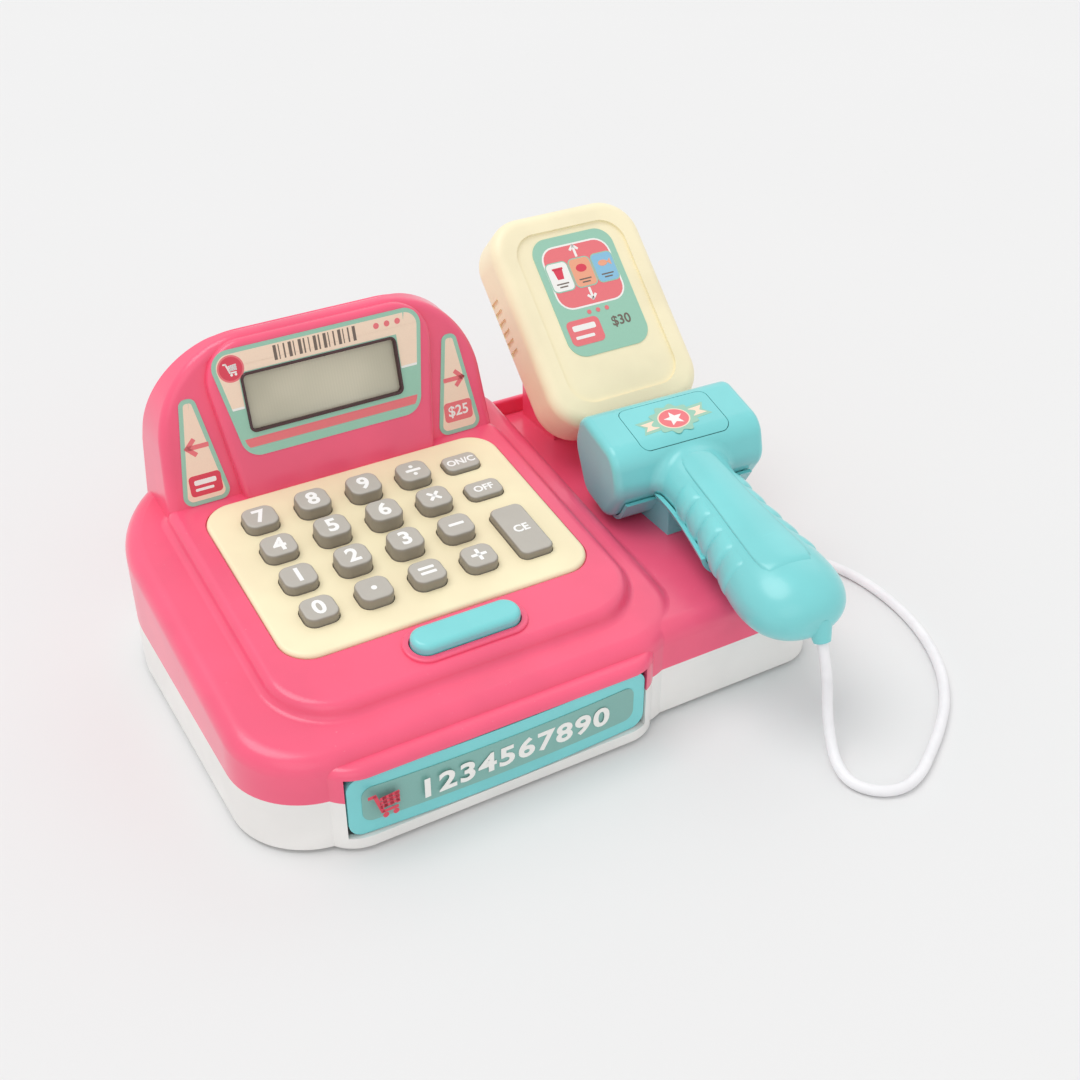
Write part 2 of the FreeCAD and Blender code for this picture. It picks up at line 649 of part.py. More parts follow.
def drawer_front():
    middle = dim("front_bottom") + dim("front_height") / 2
    panel = front_panel("front_plate", "front_width", "front_height", dim("front_thick"), 0,
                        "front_corner", middle)
    neck = box("front_neck", (80, 4, 14), (dim("drawer_middle") - 40, dim("front_face") + 1.6,
                                           dim("drawer_bottom") + 2))
    shape = join("drawer_front_form", [panel, neck])
    far = box("front_limit", (200, 60, 60), (-130, drawer_back() - dim("drawer_length"), 0))
    front = cut("drawer_front", shape, [far])
    label = front_panel("drawer_label", "front_width - 10", 15, 0.3, 0.3, 4, middle)
    return [front, label]


def coil_spring(name, radius, wire, pitch, turns, base, axis, angle):
    helix = Part.makeHelix(pitch, pitch * turns, radius)
    ring = Part.Wire([Part.makeCircle(wire, Vector(radius, 0, 0), Y_AXIS)])
    shape = Part.Wire(helix).makePipeShell([ring], True, True)
    return solid(name, shape, base, axis, angle)


# ---------------------------------------------------------------- display hood

def side_face_y(z):
    """The set-back front of the hood's two side panels."""
    foot = dim("face_foot_y") + dim("side_setback")
    ridge_front = dim("hood_ridge_y")
    return foot + (z - dim("face_foot_z")) * (ridge_front - foot) / (dim("hood_top") - dim("face_foot_z"))


def hood_solid(name, inset=0.0):
    half_foot, half_top = dim("hood_half_foot") - inset, dim("hood_half_top") - inset
    middle, top = dim("hood_middle"), dim("hood_top") - inset
    low = 40.0
    shoulder = dim("hood_shoulder") - inset
    front_view = new_body(name + "_front_view")
    loop = outline([(middle - half_foot, low, 0), (middle + half_foot, low, 0),
                    (middle + half_top, top, shoulder), (middle - half_top, top, shoulder)])
    pad(front_view, closed_sketch(front_view, "outline", loop, role="XZ_Plane"), 300, midplane=True)
    side_view = new_body(name + "_side_view")
    ridge_back = dim("hood_ridge_y") + dim("ridge_depth")
    profile = outline([(side_face_y(low) + inset, low, 0), (dim("hood_back_foot") - inset, low, 0),
                       (ridge_back - inset, top, 3.5), (side_face_y(top) + inset, top, 0)])
    pad(side_view, closed_sketch(side_view, "outline", profile, role="YZ_Plane"), 400, midplane=True)
    plan = flat_body(name + "_plan", housing_corners(0.6 + inset), low - 5, top + 20)
    return common(name, common(name + "_views", front_view, side_view), plan)


def face_point(x, up, out):
    lean = math.radians(dim("face_lean"))
    return Vector(dim("hood_middle") + x,
                  dim("face_foot_y") + up * math.sin(lean) - out * math.cos(lean),
                  dim("face_foot_z") + up * math.cos(lean) + out * math.sin(lean))


def on_face(obj, x=0.0, up=0.0, out=0.0):
    return place(obj, face_point(x, up, out), X_AXIS, 90 - dim("face_lean"))


def side_lean():
    return math.degrees(math.atan2(side_face_y(100) - side_face_y(60), 40))


def on_side_face(obj, out=0.0):
    lean = math.radians(side_lean())
    foot = dim("face_foot_z")
    base = Vector(dim("hood_middle"), side_face_y(foot) - out * math.cos(lean), foot + out * math.sin(lean))
    return place(obj, base, X_AXIS, 90 - side_lean())


def display_block(name, inset=0.0):
    """The raised middle of the hood that carries the display."""
    half_foot, half_top = dim("block_half_foot") - inset, dim("block_half_top") - inset
    rise = (dim("hood_top") - dim("face_foot_z")) / math.cos(math.radians(dim("face_lean")))
    body = new_body(name)
    loop = outline([(-half_foot, -12, dim("block_corner")), (half_foot, -12, dim("block_corner")),
                    (half_top, rise - inset, 16), (-half_top, rise - inset, 16)])
    depth = dim("block_depth")
    pad(body, closed_sketch(body, "outline", loop), "block_depth")
    if not inset:
        fillet(body, "block_edge", lambda e: abs(e.BoundBox.ZMin - depth) < 1e-4)
    return on_face(body, out=-depth - inset)


def plate(name, loops, thick):
    body = new_body(name)
    pad(body, closed_sketch(body, "outline", *loops), thick)
    return body


def side_label_loop(side):
    corners = [(45.0, 1.5, 4), (65, 1.5, 4), (58.5, 43.5, 3), (52.5, 43.5, 3)]
    if side < 0:
        corners = [(-x, y, r) for x, y, r in reversed(corners)]
    return outline(corners)


def hood_parts(housing):
    hood_bottom = 40.0

    def on_front_rim(p):
        return abs(p.y - side_face_y(p.z)) < 0.3 and p.z >= hood_bottom

    rounded = round_edges("hood_rounded", hood_solid("hood_outside"), [(on_front_rim, "hood_edge")])
    outer = join("hood_form", [rounded, display_block("display_raised")])
    inner = join("hood_hollow", [hood_solid("hood_inside", dim("wall")),
                                 display_block("display_hollow", dim("wall"))])
    window = on_face(block("display_window", "window_width", "window_height", 40, corner="window_corner"),
                     dim("window_x"), dim("window_up"), -8)
    shell = cut("hood_shell", cut("hood_walls", outer, [inner]), [window, housing])
    lean_back = math.degrees(math.atan2(dim("hood_back_foot") - dim("hood_ridge_y") - dim("ridge_depth"),
                                        dim("hood_top") - 40))
    slab = box("cover_slab", (300, 60, 200), (-180, dim("hood_back_foot") - dim("cover_thick"), 40))
    slab.Placement = FreeCAD.Placement(Vector(-180, dim("hood_back_foot") - dim("cover_thick"), 40),
                                       Rotation(X_AXIS, lean_back))
    slots = [box("cover_slot_%d" % i, (30, 40, 2), (dim("hood_middle") - 15, 60, 76 + 4.4 * i))
             for i in range(6)]
    hood = cut("display_hood", shell, [slab])
    cover = cut("rear_cover", common("cover_form", shell, slab), slots)
    lens = on_face(block("display_lens", "window_width - 0.3", "window_height - 0.3", "lens_thick",
                         corner="window_corner - 0.2"),
                   dim("window_x"), dim("window_up"), -dim("lens_setback") - dim("lens_thick"))
    module = on_face(block("display_module", "window_width + 3", "window_height + 3", 4, corner=1),
                     dim("window_x"), dim("window_up"), -dim("wall") - 4.2)
    half_width, half_height = dim("window_width") / 2 + 0.4, dim("window_height") / 2 + 0.4
    label_loop = outline([(-37.5, 17, 8), (37, 17, 8), (43.8, 60.2, 7), (-46, 60.2, 7)])
    hole = rectangle(dim("window_x") - half_width, dim("window_up") - half_height,
                     dim("window_x") + half_width, dim("window_up") + half_height, 2.4)
    display_label = on_face(plate("display_label", [label_loop, hole], "label_thick"))
    left = on_side_face(plate("side_label_left", [side_label_loop(-1)], "label_thick"))
    right = on_side_face(plate("side_label_right", [side_label_loop(1)], "label_thick"))
    return [hood, cover, lens, module, display_label, left, right]


def inner_parts():
    board = box("main_board", (70, 1.6, 34), (dim("hood_middle") - 35, 66, 66))
    board.Label = "main_board"
    magnet = cylinder("speaker_magnet", 9, 6, (80, 54, 14))
    cone = cylinder("speaker_rim", 15, 3, (80, 54, 11))
    lug = cylinder("speaker_lug", 17, 7, (80, 54, 4))
    hole = cylinder("speaker_bore", 14, 8, (80, 54, 4))
    return [board, join("speaker", [magnet, cone, cut("speaker_ring", lug, [hole])])]


# ---------------------------------------------------------------- price screen

def on_screen(obj, x=0.0, up=0.0, out=0.0, flip=False):
    tilt = math.radians(dim("screen_tilt"))
    base = Vector(dim("screen_x") + x,
                  dim("screen_y") + up * math.cos(tilt) - out * math.sin(tilt),
                  dim("screen_z") + up * math.sin(tilt) + out * math.cos(tilt))
    return place(obj, base, X_AXIS, dim("screen_tilt") + (180 if flip else 0))


def screen_parts():
    wall = dim("wall")
    front = on_screen(block("screen_front_form", "screen_width", "screen_length", "screen_front",
                            corner="screen_corner", edge="screen_edge"))
    recess_floor = dim("screen_front") - dim("screen_recess")
    recess = on_screen(block("screen_recess_form", "screen_width - 19", "screen_length - 19", 10,
                             corner="screen_corner - 6"), out=recess_floor)
    front_hollow = on_screen(block("screen_front_hollow", "screen_width - 2 * wall",
                                   "screen_length - 2 * wall", "screen_front - wall - 1.4",
                                   corner="screen_corner - wall"), out=-0.01)
    back = on_screen(block("screen_back_form", "screen_width", "screen_length", "screen_back",
                           corner="screen_corner", edge="screen_edge"), flip=True)
    back_hollow = on_screen(block("screen_back_hollow", "screen_width - 2 * wall",
                                  "screen_length - 2 * wall", "screen_back - wall",
                                  corner="screen_corner - wall"), out=0.01, flip=True)
    grooves = [on_screen(box("screen_groove_%d" % i, (1.2, 2.2, 8), (0, 0, 0)),
                         x=-dim("screen_width") / 2 - 0.1, up=-6.0 + 4.6 * i, out=-10)
               for i in range(6)]
    profile = outline([(52, dim("tray_height"), 0.5), (80, dim("tray_height"), 0.5),
                       (80, screen_back_height(80), 0.5), (52, screen_back_height(52), 0.5)])
    post = new_body("stand_post")
    pad(post, closed_sketch(post, "outline", profile, role="YZ_Plane"), 40, midplane=True)
    place(post, (dim("screen_x"), 0, 0))
    peg = cylinder("stand_peg", 3.9, 8, (dim("screen_x"), dim("screen_y"), dim("tray_height") - 7.5))
    loop = outline([(-19, -18.8, 8), (20.7, -18.8, 8), (20.7, 36, 8), (-19, 36, 8)])
    label = on_screen(plate("screen_label", [loop], "label_thick"), out=recess_floor)
    return [cut("screen_front_shell", front, [recess, front_hollow]),
            cut("screen_back_shell", back, [back_hollow] + grooves),
            join("screen_stand", [post, peg]), label]


def screen_back_height(y):
    """Height of the screen's rear face above the tray at a depth y."""
    tilt = math.radians(dim("screen_tilt"))
    back_y = dim("screen_y") + dim("screen_back") * math.sin(tilt)
    back_z = dim("screen_z") - dim("screen_back") * math.cos(tilt)
    return back_z + (y - back_y) * math.tan(tilt)


# ---------------------------------------------------------------- scanner

def scanner_pose():
    """The scanner lies a little askew in its cradle: turned, rolled, and with its grip dropped."""
    turn = Rotation(Z_AXIS, -dim("grip_turn"))
    roll = Rotation(Y_AXIS, -dim("scanner_roll"))
    drop = Rotation(X_AXIS, dim("grip_drop"))
    centre = Vector(dim("head_x"), dim("head_y"), dim("head_z"))
    return FreeCAD.Placement(centre, turn.multiply(roll).multiply(drop))


def head_section(inset=0.0):
    half_depth, half_height = dim("head_depth") / 2, dim("head_height") / 2
    corners = [(-0.55, -1.0, 8), (0.45, -1.0, 9), (1.0, 0.05, 12), (0.8, 1.0, 8), (-0.72, 0.95, 10),
               (-1.0, 0.05, 11)]
    return outline([((half_depth - inset) * a, (half_height - inset) * b, r - inset)
                    for a, b, r in corners])


def head_form(inset=0.0):
    """The scanner's head: its side section carried across its width, with soft ends."""
    face = face_of(head_section(inset))
    face.rotate(Vector(), Vector(1, 1, 1), 120)
    half = dim("head_width") / 2 - inset
    face.translate(Vector(-half, 0, 0))
    shape = face.extrude(Vector(2 * half, 0, 0))
    if not inset:
        ends = [e for e in shape.Edges if abs(abs(e.CenterOfMass.x) - half) < 1e-4]
        shape = shape.makeFillet(3.2, ends)
    return shape


GRIP_SECTIONS = [(8, 29, 24, 1), (30, 29, 24, 1), (50, 31, 25, 0.5), (70, 36, 27, 0),
                 (88, 41, 29, 0), (101, 38, 26, 0.5), (109, 27, 18, 1), (112.4, 10, 7, 1)]


def grip_form(inset=0.0):
    """The grip: ovals (distance, width, height, rise) joined by one smooth skin."""
    wires = []
    for distance, width, height, rise in GRIP_SECTIONS:
        if inset and distance > 104:
            continue
        oval = Part.Ellipse(Vector(0, 0, 0), width / 2 - inset, height / 2 - inset).toShape()
        oval.rotate(Vector(), X_AXIS, 90)
        oval.translate(Vector(0, -distance, rise))
        wires.append(Part.Wire(oval))
    return Part.makeLoft(wires, True, False)


def blended(head, grip, radius):
    """Head and grip as one solid, with the corner where they meet rounded."""
    both = head.fuse(grip).Solids[0]
    meeting = []
    for edge in both.Edges:
        span = edge.LastParameter - edge.FirstParameter
        points = [Part.Vertex(edge.valueAt(edge.FirstParameter + span * k / 4)) for k in range(5)]
        if all(form.distToShape(p)[0] < 1e-3 for form in (head, grip) for p in points):
            meeting.append(edge)
    return both.makeFillet(radius, meeting)


def scanner_parts():
    pose = scanner_pose()
    half = dim("head_height") / 2
    outer = blended(head_form(), grip_form(), dim("neck_round"))
    inner = head_form(dim("shell")).fuse(grip_form(dim("shell")))
    walls = outer.cut(inner)
    seam = dim("scanner_seam")
    upper_space = Part.makeBox(200, 300, 100, Vector(-100, -200, seam))
    lower_space = Part.makeBox(200, 300, 100, Vector(-100, -200, seam - 100))
    opening = slab(-20, -14, 20, 11, 4, half - 4.4, 15)
    button = slab(-19.7, -13.7, 19.7, 10.7, 3.7, half - 2.9, 15).common(outer)
    button = button.fuse(slab(-19.7, -11, 19.7, 9, 3, half - 4.6, 1.8))
    button = button.fuse(slab(-21.2, -11, 21.2, 9, 3, half - 4.6, 1))
    lens_hole = Part.makeBox(46, 10, 12, Vector(-23, 14, -5))
    lens = Part.makeBox(45.6, 1.6, 11.6, Vector(-22.8, dim("head_depth") / 2 - 5.0, -4.8))
    board = Part.makeBox(20, 60, 1.6, Vector(-10, -60, seam + 1.5))
    upper = walls.common(upper_space).cut(opening).cut(lens_hole)
    lower = walls.common(lower_space).cut(lens_hole)
    gland = Part.makeCone(5.2, 3.3, dim("gland_length"), gland_base(), gland_direction())
    gland = gland.cut(outer)
    parts = [("scanner_upper_shell", upper), ("scanner_lower_shell", lower), ("scan_button", button),
             ("scanner_window", lens), ("scanner_board", board), ("cord_gland", gland)]
    made = []
    for name, shape in parts:
        obj = solid(name, shape)
        obj.Placement = pose
        made.append(obj)
    return made, outer


def slab(x0, y0, x1, y1, radius, low, height):
    """A rounded slab in the scanner's own frame."""
    face = face_of(rectangle(x0, y0, x1, y1, radius))
    face.translate(Vector(0, 0, low))
    return face.extrude(Vector(0, 0, height))


def gland_base():
    return Vector(3.5, -108, 0)


def gland_direction():
    return Vector(0.0, -0.5, -0.87).normalize()


def cradle(outer):
    """A thin moulded saddle that follows the underside of the head and grip, on a post."""
    pose = scanner_pose()
    gap, skin = dim("cradle_gap"), dim("cradle_skin")
    grown = head_form_grown(gap + skin)
    hollow = head_form_grown(gap)
    cup = grown.cut(hollow)
    cup = cup.common(Part.makeBox(dim("head_width") - 10, 80, 40,
                                  Vector(-dim("head_width") / 2 + 5, -40, -46)))
    trough = grip_grown(gap + skin).cut(grip_grown(gap))
    trough = trough.common(Part.makeBox(60, 46, 40, Vector(-30, -62, -42)))
    space = blended(hollow, grip_grown(gap), dim("neck_round"))
    shape = cup.fuse(trough).cut(space)
    shape.Placement = pose
    post = Part.makeBox(30, 34, 30, Vector(dim("head_x") - 15, -36, dim("tray_height")))
    full = grown.fuse(grip_grown(gap + skin))
    full.Placement = pose
    post = post.cut(full)
    column = max(post.Solids, key=lambda piece: -piece.CenterOfMass.z)
    return solid("scanner_cradle", shape.fuse(column).removeSplitter())


def head_form_grown(extra):
    corners = head_section(-extra)
    face = face_of(corners)
    face.rotate(Vector(), Vector(1, 1, 1), 120)
    half = dim("head_width") / 2
    face.translate(Vector(-half, 0, 0))
    return face.extrude(Vector(2 * half, 0, 0))


def grip_grown(extra):
    wires = []
    for distance, width, height, rise in GRIP_SECTIONS:
        oval = Part.Ellipse(Vector(0, 0, 0), width / 2 + extra, height / 2 + extra).toShape()
        oval.rotate(Vector(), X_AXIS, 90)
        oval.translate(Vector(0, -distance, rise))
        wires.append(Part.Wire(oval))
    return Part.makeLoft(wires, True, False)


# ---------------------------------------------------------------- cord

CORD_ROUTE = [(86.3, -129, 24.5), (86, -131, 14.5), (83.6, -137, 7.2), (80, -144.9, 3.8),
              (78.6, -154.4, 2.2), (83.8, -163, 2.1), (93.4, -166.9, 2.1), (104.2, -163.9, 2.1),
              (115, -157.2, 2.1), (127.5, -148.6, 2.1), (140, -138, 2.1), (151, -124, 2.1),
              (159, -108, 2.1), (164, -90.5, 2.1), (165.6, -72, 2.1), (163.8, -54, 2.1),
              (157.5, -38.5, 2.1), (148.5, -26.5, 2.9), (138.5, -18, 5.8)]


def cord_exit(beyond):
    """The middle of the cord's hole in the base, a little beyond the base's right side."""
    return Vector(dim("base_width") / 2 + beyond, dim("cord_exit_y"), dim("cord_exit_z"))


def cord_points():
    """The route; its first run leaves square to the gland and its last enters square to the base."""
    tip = gland_base() + gland_direction() * dim("gland_length")
    leaving = [scanner_pose().multVec(tip + gland_direction() * run) for run in (0, 9.5)]
    return leaving + [Vector(*p) for p in CORD_ROUTE] + [cord_exit(11), cord_exit(2)]


def cord_shape():
    points = cord_points()
    edges = []
    here = points[0]
    length = 0.0
    for i in range(1, len(points) - 1):
        to_last = points[i - 1] - points[i]
        to_next = points[i + 1] - points[i]
        shorter = min(to_last.Length, to_next.Length)
        half_turn = (math.pi - to_last.getAngle(to_next)) / 2
        radius = 0.45 * shorter / math.tan(half_turn)
        cut_back = 0.45 * shorter
        print("cord point %d turn %.0f radius %.1f" % (i, math.degrees(2 * half_turn), radius))
        start = points[i] + to_last.normalize() * cut_back
        end = points[i] + to_next.normalize() * cut_back
        inward = (to_last + to_next).normalize()
        middle = points[i] + inward * (radius / math.cos(half_turn) - radius)
        edges.append(Part.LineSegment(here, start).toShape())
        edges.append(Part.Arc(start, middle, end).toShape())
        length += here.distanceToPoint(start) + radius * 2 * half_turn
        here = end
    edges.append(Part.LineSegment(here, points[-1]).toShape())
    length += here.distanceToPoint(points[-1])
    path = Part.Wire(edges)
    radius = dim("cord_diameter") / 2
    ring = Part.Wire([Part.makeCircle(radius, points[0], points[1] - points[0])])
    shape = path.makePipeShell([ring], True, False)
    print("cord length %.1f volume %.0f against %.0f" % (length, shape.Volume,
                                                        math.pi * radius ** 2 * length))
    return shape


# ---------------------------------------------------------------- assembly

def build():
    fill_sheet()
    housing = top_housing()
    parts = [base_shell(), housing, feet(), screws()] + battery_parts()
    parts += [keypad_plate()] + keypad_inside() + [key(*k) for k in key_layout()]
    parts += [release_button()] + latch_parts()
    parts += [drawer_box()] + drawer_front()
    parts.append(coil_spring("drawer_spring", 5, 0.6, 3.2, 5, (dim("drawer_middle"), drawer_back() + 0.8,
                                                               18), X_AXIS, -90))
    parts += hood_parts(doc.getObject("housing_outside"))
    parts += inner_parts()
    parts += screen_parts()
    scanner, outer = scanner_parts()
    parts += scanner
    parts.append(cradle(outer))
    parts.append(cylinder("cord_grommet", "grommet_radius", 6, cord_exit(-4), Y_AXIS, 90))
    parts.append(solid("scanner_cord", cord_shape()))
    return parts


def export(parts):
    doc.recompute()
    for obj in doc.Objects:
        if "Invalid" in obj.State or "Error" in obj.State:
            raise RuntimeError("%s did not build: %s" % (obj.Label, obj.State))
    os.makedirs("parts", exist_ok=True)
    for part in parts:
        shape = part.Shape
        if shape.isNull() or not shape.isValid():
            raise RuntimeError("%s has no sound shape" % part.Label)
        if not shape.Solids:
            raise RuntimeError("%s has no solid" % part.Label)
        shape.exportStep("parts/%s.step" % part.Label)
        print("%-22s %9.0f mm3 %d solid(s)" % (part.Label, shape.Volume, len(shape.Solids)))


export(build())
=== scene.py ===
import json
import math

import bpy
import numpy as np
from mathutils import Matrix, Vector
from mathutils.geometry import convex_hull_2d


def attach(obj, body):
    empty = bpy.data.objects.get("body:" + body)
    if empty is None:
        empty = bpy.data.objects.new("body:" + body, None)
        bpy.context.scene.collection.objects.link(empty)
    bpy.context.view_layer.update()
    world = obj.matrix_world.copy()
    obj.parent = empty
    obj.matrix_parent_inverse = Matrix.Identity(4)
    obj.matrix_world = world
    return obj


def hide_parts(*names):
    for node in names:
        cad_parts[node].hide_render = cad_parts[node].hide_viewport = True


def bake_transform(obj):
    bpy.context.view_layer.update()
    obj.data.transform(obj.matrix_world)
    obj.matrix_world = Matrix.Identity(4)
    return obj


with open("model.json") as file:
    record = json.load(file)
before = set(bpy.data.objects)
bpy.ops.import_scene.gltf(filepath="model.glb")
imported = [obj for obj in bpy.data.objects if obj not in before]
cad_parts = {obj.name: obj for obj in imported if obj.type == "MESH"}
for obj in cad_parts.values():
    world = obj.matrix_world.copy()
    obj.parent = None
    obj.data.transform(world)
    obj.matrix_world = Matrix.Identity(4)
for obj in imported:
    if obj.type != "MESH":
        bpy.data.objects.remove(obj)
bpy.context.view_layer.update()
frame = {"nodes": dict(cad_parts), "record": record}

scene = bpy.context.scene
nodes = frame["nodes"]
print("frame loaded, nodes:", len(nodes))


# the camera comes first
cameraSet = {"place": (-0.2135, -0.4378, 0.3727), "turn": -30.038, "dip": 34.12, "lens": 49.356,
             "sensor": 36, "reach": 20}


def makeCamera():
    turn, dip = math.radians(cameraSet["turn"]), math.radians(cameraSet["dip"])
    ahead = Vector((-math.sin(turn) * math.cos(dip), math.cos(turn) * math.cos(dip), -math.sin(dip)))
    right = Vector((math.cos(turn), math.sin(turn), 0))
    up = right.cross(ahead)
    camera = bpy.data.objects.new("camera", bpy.data.cameras.new("camera"))
    scene.collection.objects.link(camera)
    camera.data.sensor_width = cameraSet["sensor"]
    camera.data.lens = cameraSet["lens"]
    camera.data.clip_end = cameraSet["reach"]
    rows = [(right[i], up[i], -ahead[i], cameraSet["place"][i]) for i in range(3)]
    camera.matrix_world = Matrix(rows + [(0, 0, 0, 1)])
    scene.camera = camera
    print("camera placed")


makeCamera()


def meshPiece(name, points, faces, smooth=True):
    mesh = bpy.data.meshes.new(name)
    mesh.from_pydata(np.asarray(points).tolist(), [], [list(face) for face in faces])
    mesh.polygons.foreach_set("use_smooth", [smooth] * len(mesh.polygons))
    mesh.update()
    piece = bpy.data.objects.new(name, mesh)
    scene.collection.objects.link(piece)
    return piece


def gridFaces(rows, columns, around=True):
    # quad (i, j) joins ring i to ring i + 1 and column j to column j + 1, back to 0 when it goes around
    across = columns if around else columns - 1
    i, j = np.meshgrid(np.arange(rows - 1), np.arange(across), indexing="ij")
    i, j = i.ravel(), j.ravel()
    k = (j + 1) % columns
    return np.stack([i * columns + j, i * columns + k, (i + 1) * columns + k, (i + 1) * columns + j], axis=1)


def finishPiece(piece, body, finish):
    piece.data.materials.append(finish)
    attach(piece, body)
    return piece


# the scanner's cord: points in metres from the gland to the grommet; hang and hangLength = the way and the
# length of the last run up to the gland
cord = {
    "route": [(0.08584, -0.12355, 0.04272), (0.08584, -0.12726, 0.03398),
              (0.0863, -0.129, 0.0245), (0.086, -0.131, 0.0145), (0.0836, -0.137, 0.0072),
              (0.080, -0.1449, 0.0038), (0.0786, -0.1544, 0.0022), (0.0838, -0.163, 0.0021),
              (0.0934, -0.1669, 0.0021), (0.1042, -0.1639, 0.0021), (0.115, -0.1572, 0.0021),
              (0.1275, -0.1486, 0.0021), (0.140, -0.138, 0.0021), (0.151, -0.124, 0.0021),
              (0.159, -0.108, 0.0021), (0.164, -0.0905, 0.0021), (0.1656, -0.072, 0.0021),
              (0.1638, -0.054, 0.0021), (0.1575, -0.0385, 0.0021), (0.1485, -0.0265, 0.0029),
              (0.1385, -0.018, 0.0058), (0.130, -0.013, 0.009), (0.121, -0.013, 0.009)],
    "resolution": 16, "diameter": 0.0041, "sides": 20, "reference": (0.8, 0.3, 0.52),
    "hang": (-0.3, 0.0, 0.954), "hangLength": 0.036,
}


def routeSamples(route):
    # points along a spline of order 3 pulled by the route's points, its ends on the first and the last
    curve = bpy.data.curves.new("cordRoute", "CURVE")
    curve.dimensions = "3D"
    curve.resolution_u = cord["resolution"]
    spline = curve.splines.new("NURBS")
    spline.points.add(len(route) - 1)
    spline.points.foreach_set("co", np.c_[np.array(route), np.ones(len(route))].ravel())
    spline.order_u = 3
    spline.use_endpoint_u = True
    holder = bpy.data.objects.new("cordRoute", curve)
    line = bpy.data.meshes.new_from_object(holder)
    samples = np.zeros(len(line.vertices) * 3)
    line.vertices.foreach_get("co", samples)
    bpy.data.objects.remove(holder)
    return samples.reshape(-1, 3)


def tube(name, path, radius, sides, reference):
    # ring(s, a) = P(s) + r (cos a N(s) + sin a B(s)), N square to the run and to one fixed direction
    run = np.gradient(path, axis=0)
    run /= np.linalg.norm(run, axis=1)[:, None]
    side = np.cross(run, np.array(reference))
    side /= np.linalg.norm(side, axis=1)[:, None]
    other = np.cross(run, side)
    angle = np.linspace(0, 2 * math.pi, sides, endpoint=False)[None, :, None]
    rings = path[:, None] + radius * (np.cos(angle) * side[:, None] + np.sin(angle) * other[:, None])
    count = len(path)
    caps = [list(range(sides))[::-1], list(range((count - 1) * sides, count * sides))]
    return meshPiece(name, rings.reshape(-1, 3), gridFaces(count, sides).tolist() + caps)


def makeCord(finish):
    path = routeSamples(cord["route"])
    piece = tube("scannerCord", path, cord["diameter"] / 2, cord["sides"], cord["reference"])
    piece.data.materials.append(finish)
    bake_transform(piece)
    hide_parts("scanner_cord")


class Wire:
    # one socket of a material; + - * on it add Math nodes
    def __init__(self, finish, socket):
        self.finish = finish
        self.socket = socket

    def maths(self, operation, first, second):
        return self.finish.node("Math", {"operation": operation}, {0: first, 1: second})

    def __add__(self, other):
        return self.maths("ADD", self, other)

    def __radd__(self, other):
        return self.maths("ADD", other, self)

    def __sub__(self, other):
        return self.maths("SUBTRACT", self, other)

    def __rsub__(self, other):
        return self.maths("SUBTRACT", other, self)

    def __mul__(self, other):
        return self.maths("MULTIPLY", self, other)

    def __rmul__(self, other):
        return self.maths("MULTIPLY", other, self)

    def between(self, low, high):
        # 0 below low, 1 above high, smooth in between
        return self.finish.node("MapRange", {"interpolation_type": "SMOOTHSTEP"},
                                {"Value": self, "From Min": low, "From Max": high})


class Finish:
    # one material: a shader, its nodes and the object's own coordinates
    def __init__(self, name):
        self.material = bpy.data.materials.new(name)
        self.material.use_nodes = True
        self.tree = self.material.node_tree
        self.tree.nodes.clear()
        self.shader = self.tree.nodes.new("ShaderNodeBsdfPrincipled")
        output = self.tree.nodes.new("ShaderNodeOutputMaterial")
        self.tree.links.new(self.shader.outputs[0], output.inputs[0])
        self.place = self.node("TexCoord", out="Object")

    def node(self, kind, settings=None, values=None, out=0):
        made = self.tree.nodes.new("ShaderNode" + kind)
        for key, value in (settings or {}).items():
            setattr(made, key, value)
        self.fill(made, values or {})
        return Wire(self, made.outputs[out])

    def fill(self, made, values):
        for key, value in values.items():
            if isinstance(value, Wire):
                self.tree.links.new(value.socket, made.inputs[key])
            else:
                made.inputs[key].default_value = value

    def set(self, **values):
        self.fill(self.shader, {key.replace("_", " "): value for key, value in values.items()})

    def noise(self, scale, detail=2.0, stretch=None, shift=0.0):
        where = self.place
        if stretch:
            where = self.node("Mapping", None, {"Vector": where, "Scale": stretch, "Location": (shift,) * 3})
        return self.node("TexNoise", None, {"Vector": where, "Scale": scale, "Detail": detail})

    def mix(self, first, second, share):
        return self.node("Mix", {"data_type": "RGBA"}, {0: share, 6: first, 7: second}, out=2)

    def facing(self, direction):
        normal = self.node("NewGeometry", out="Normal")
        return self.node("VectorMath", {"operation": "DOT_PRODUCT"}, {0: normal, 1: direction}, out="Value")

    def bump(self, height, distance):
        self.set(Normal=self.node("Bump", None, {"Height": height, "Distance": distance, "Strength": 1.0}))


def tone(red, green, blue):
    # linear levels of a colour given in 0 to 255: a straight foot, then the power 2.4
    def linear(level):
        level = level / 255
        return level / 12.92 if level <= 0.04045 else ((level + 0.055) / 1.055) ** 2.4
    return (linear(red), linear(green), linear(blue), 1.0)


def shade(colour, amount):
    # each part of the colour times the amount, at most 1
    return tuple(min(part * amount, 1) for part in colour[:3]) + (1.0,)


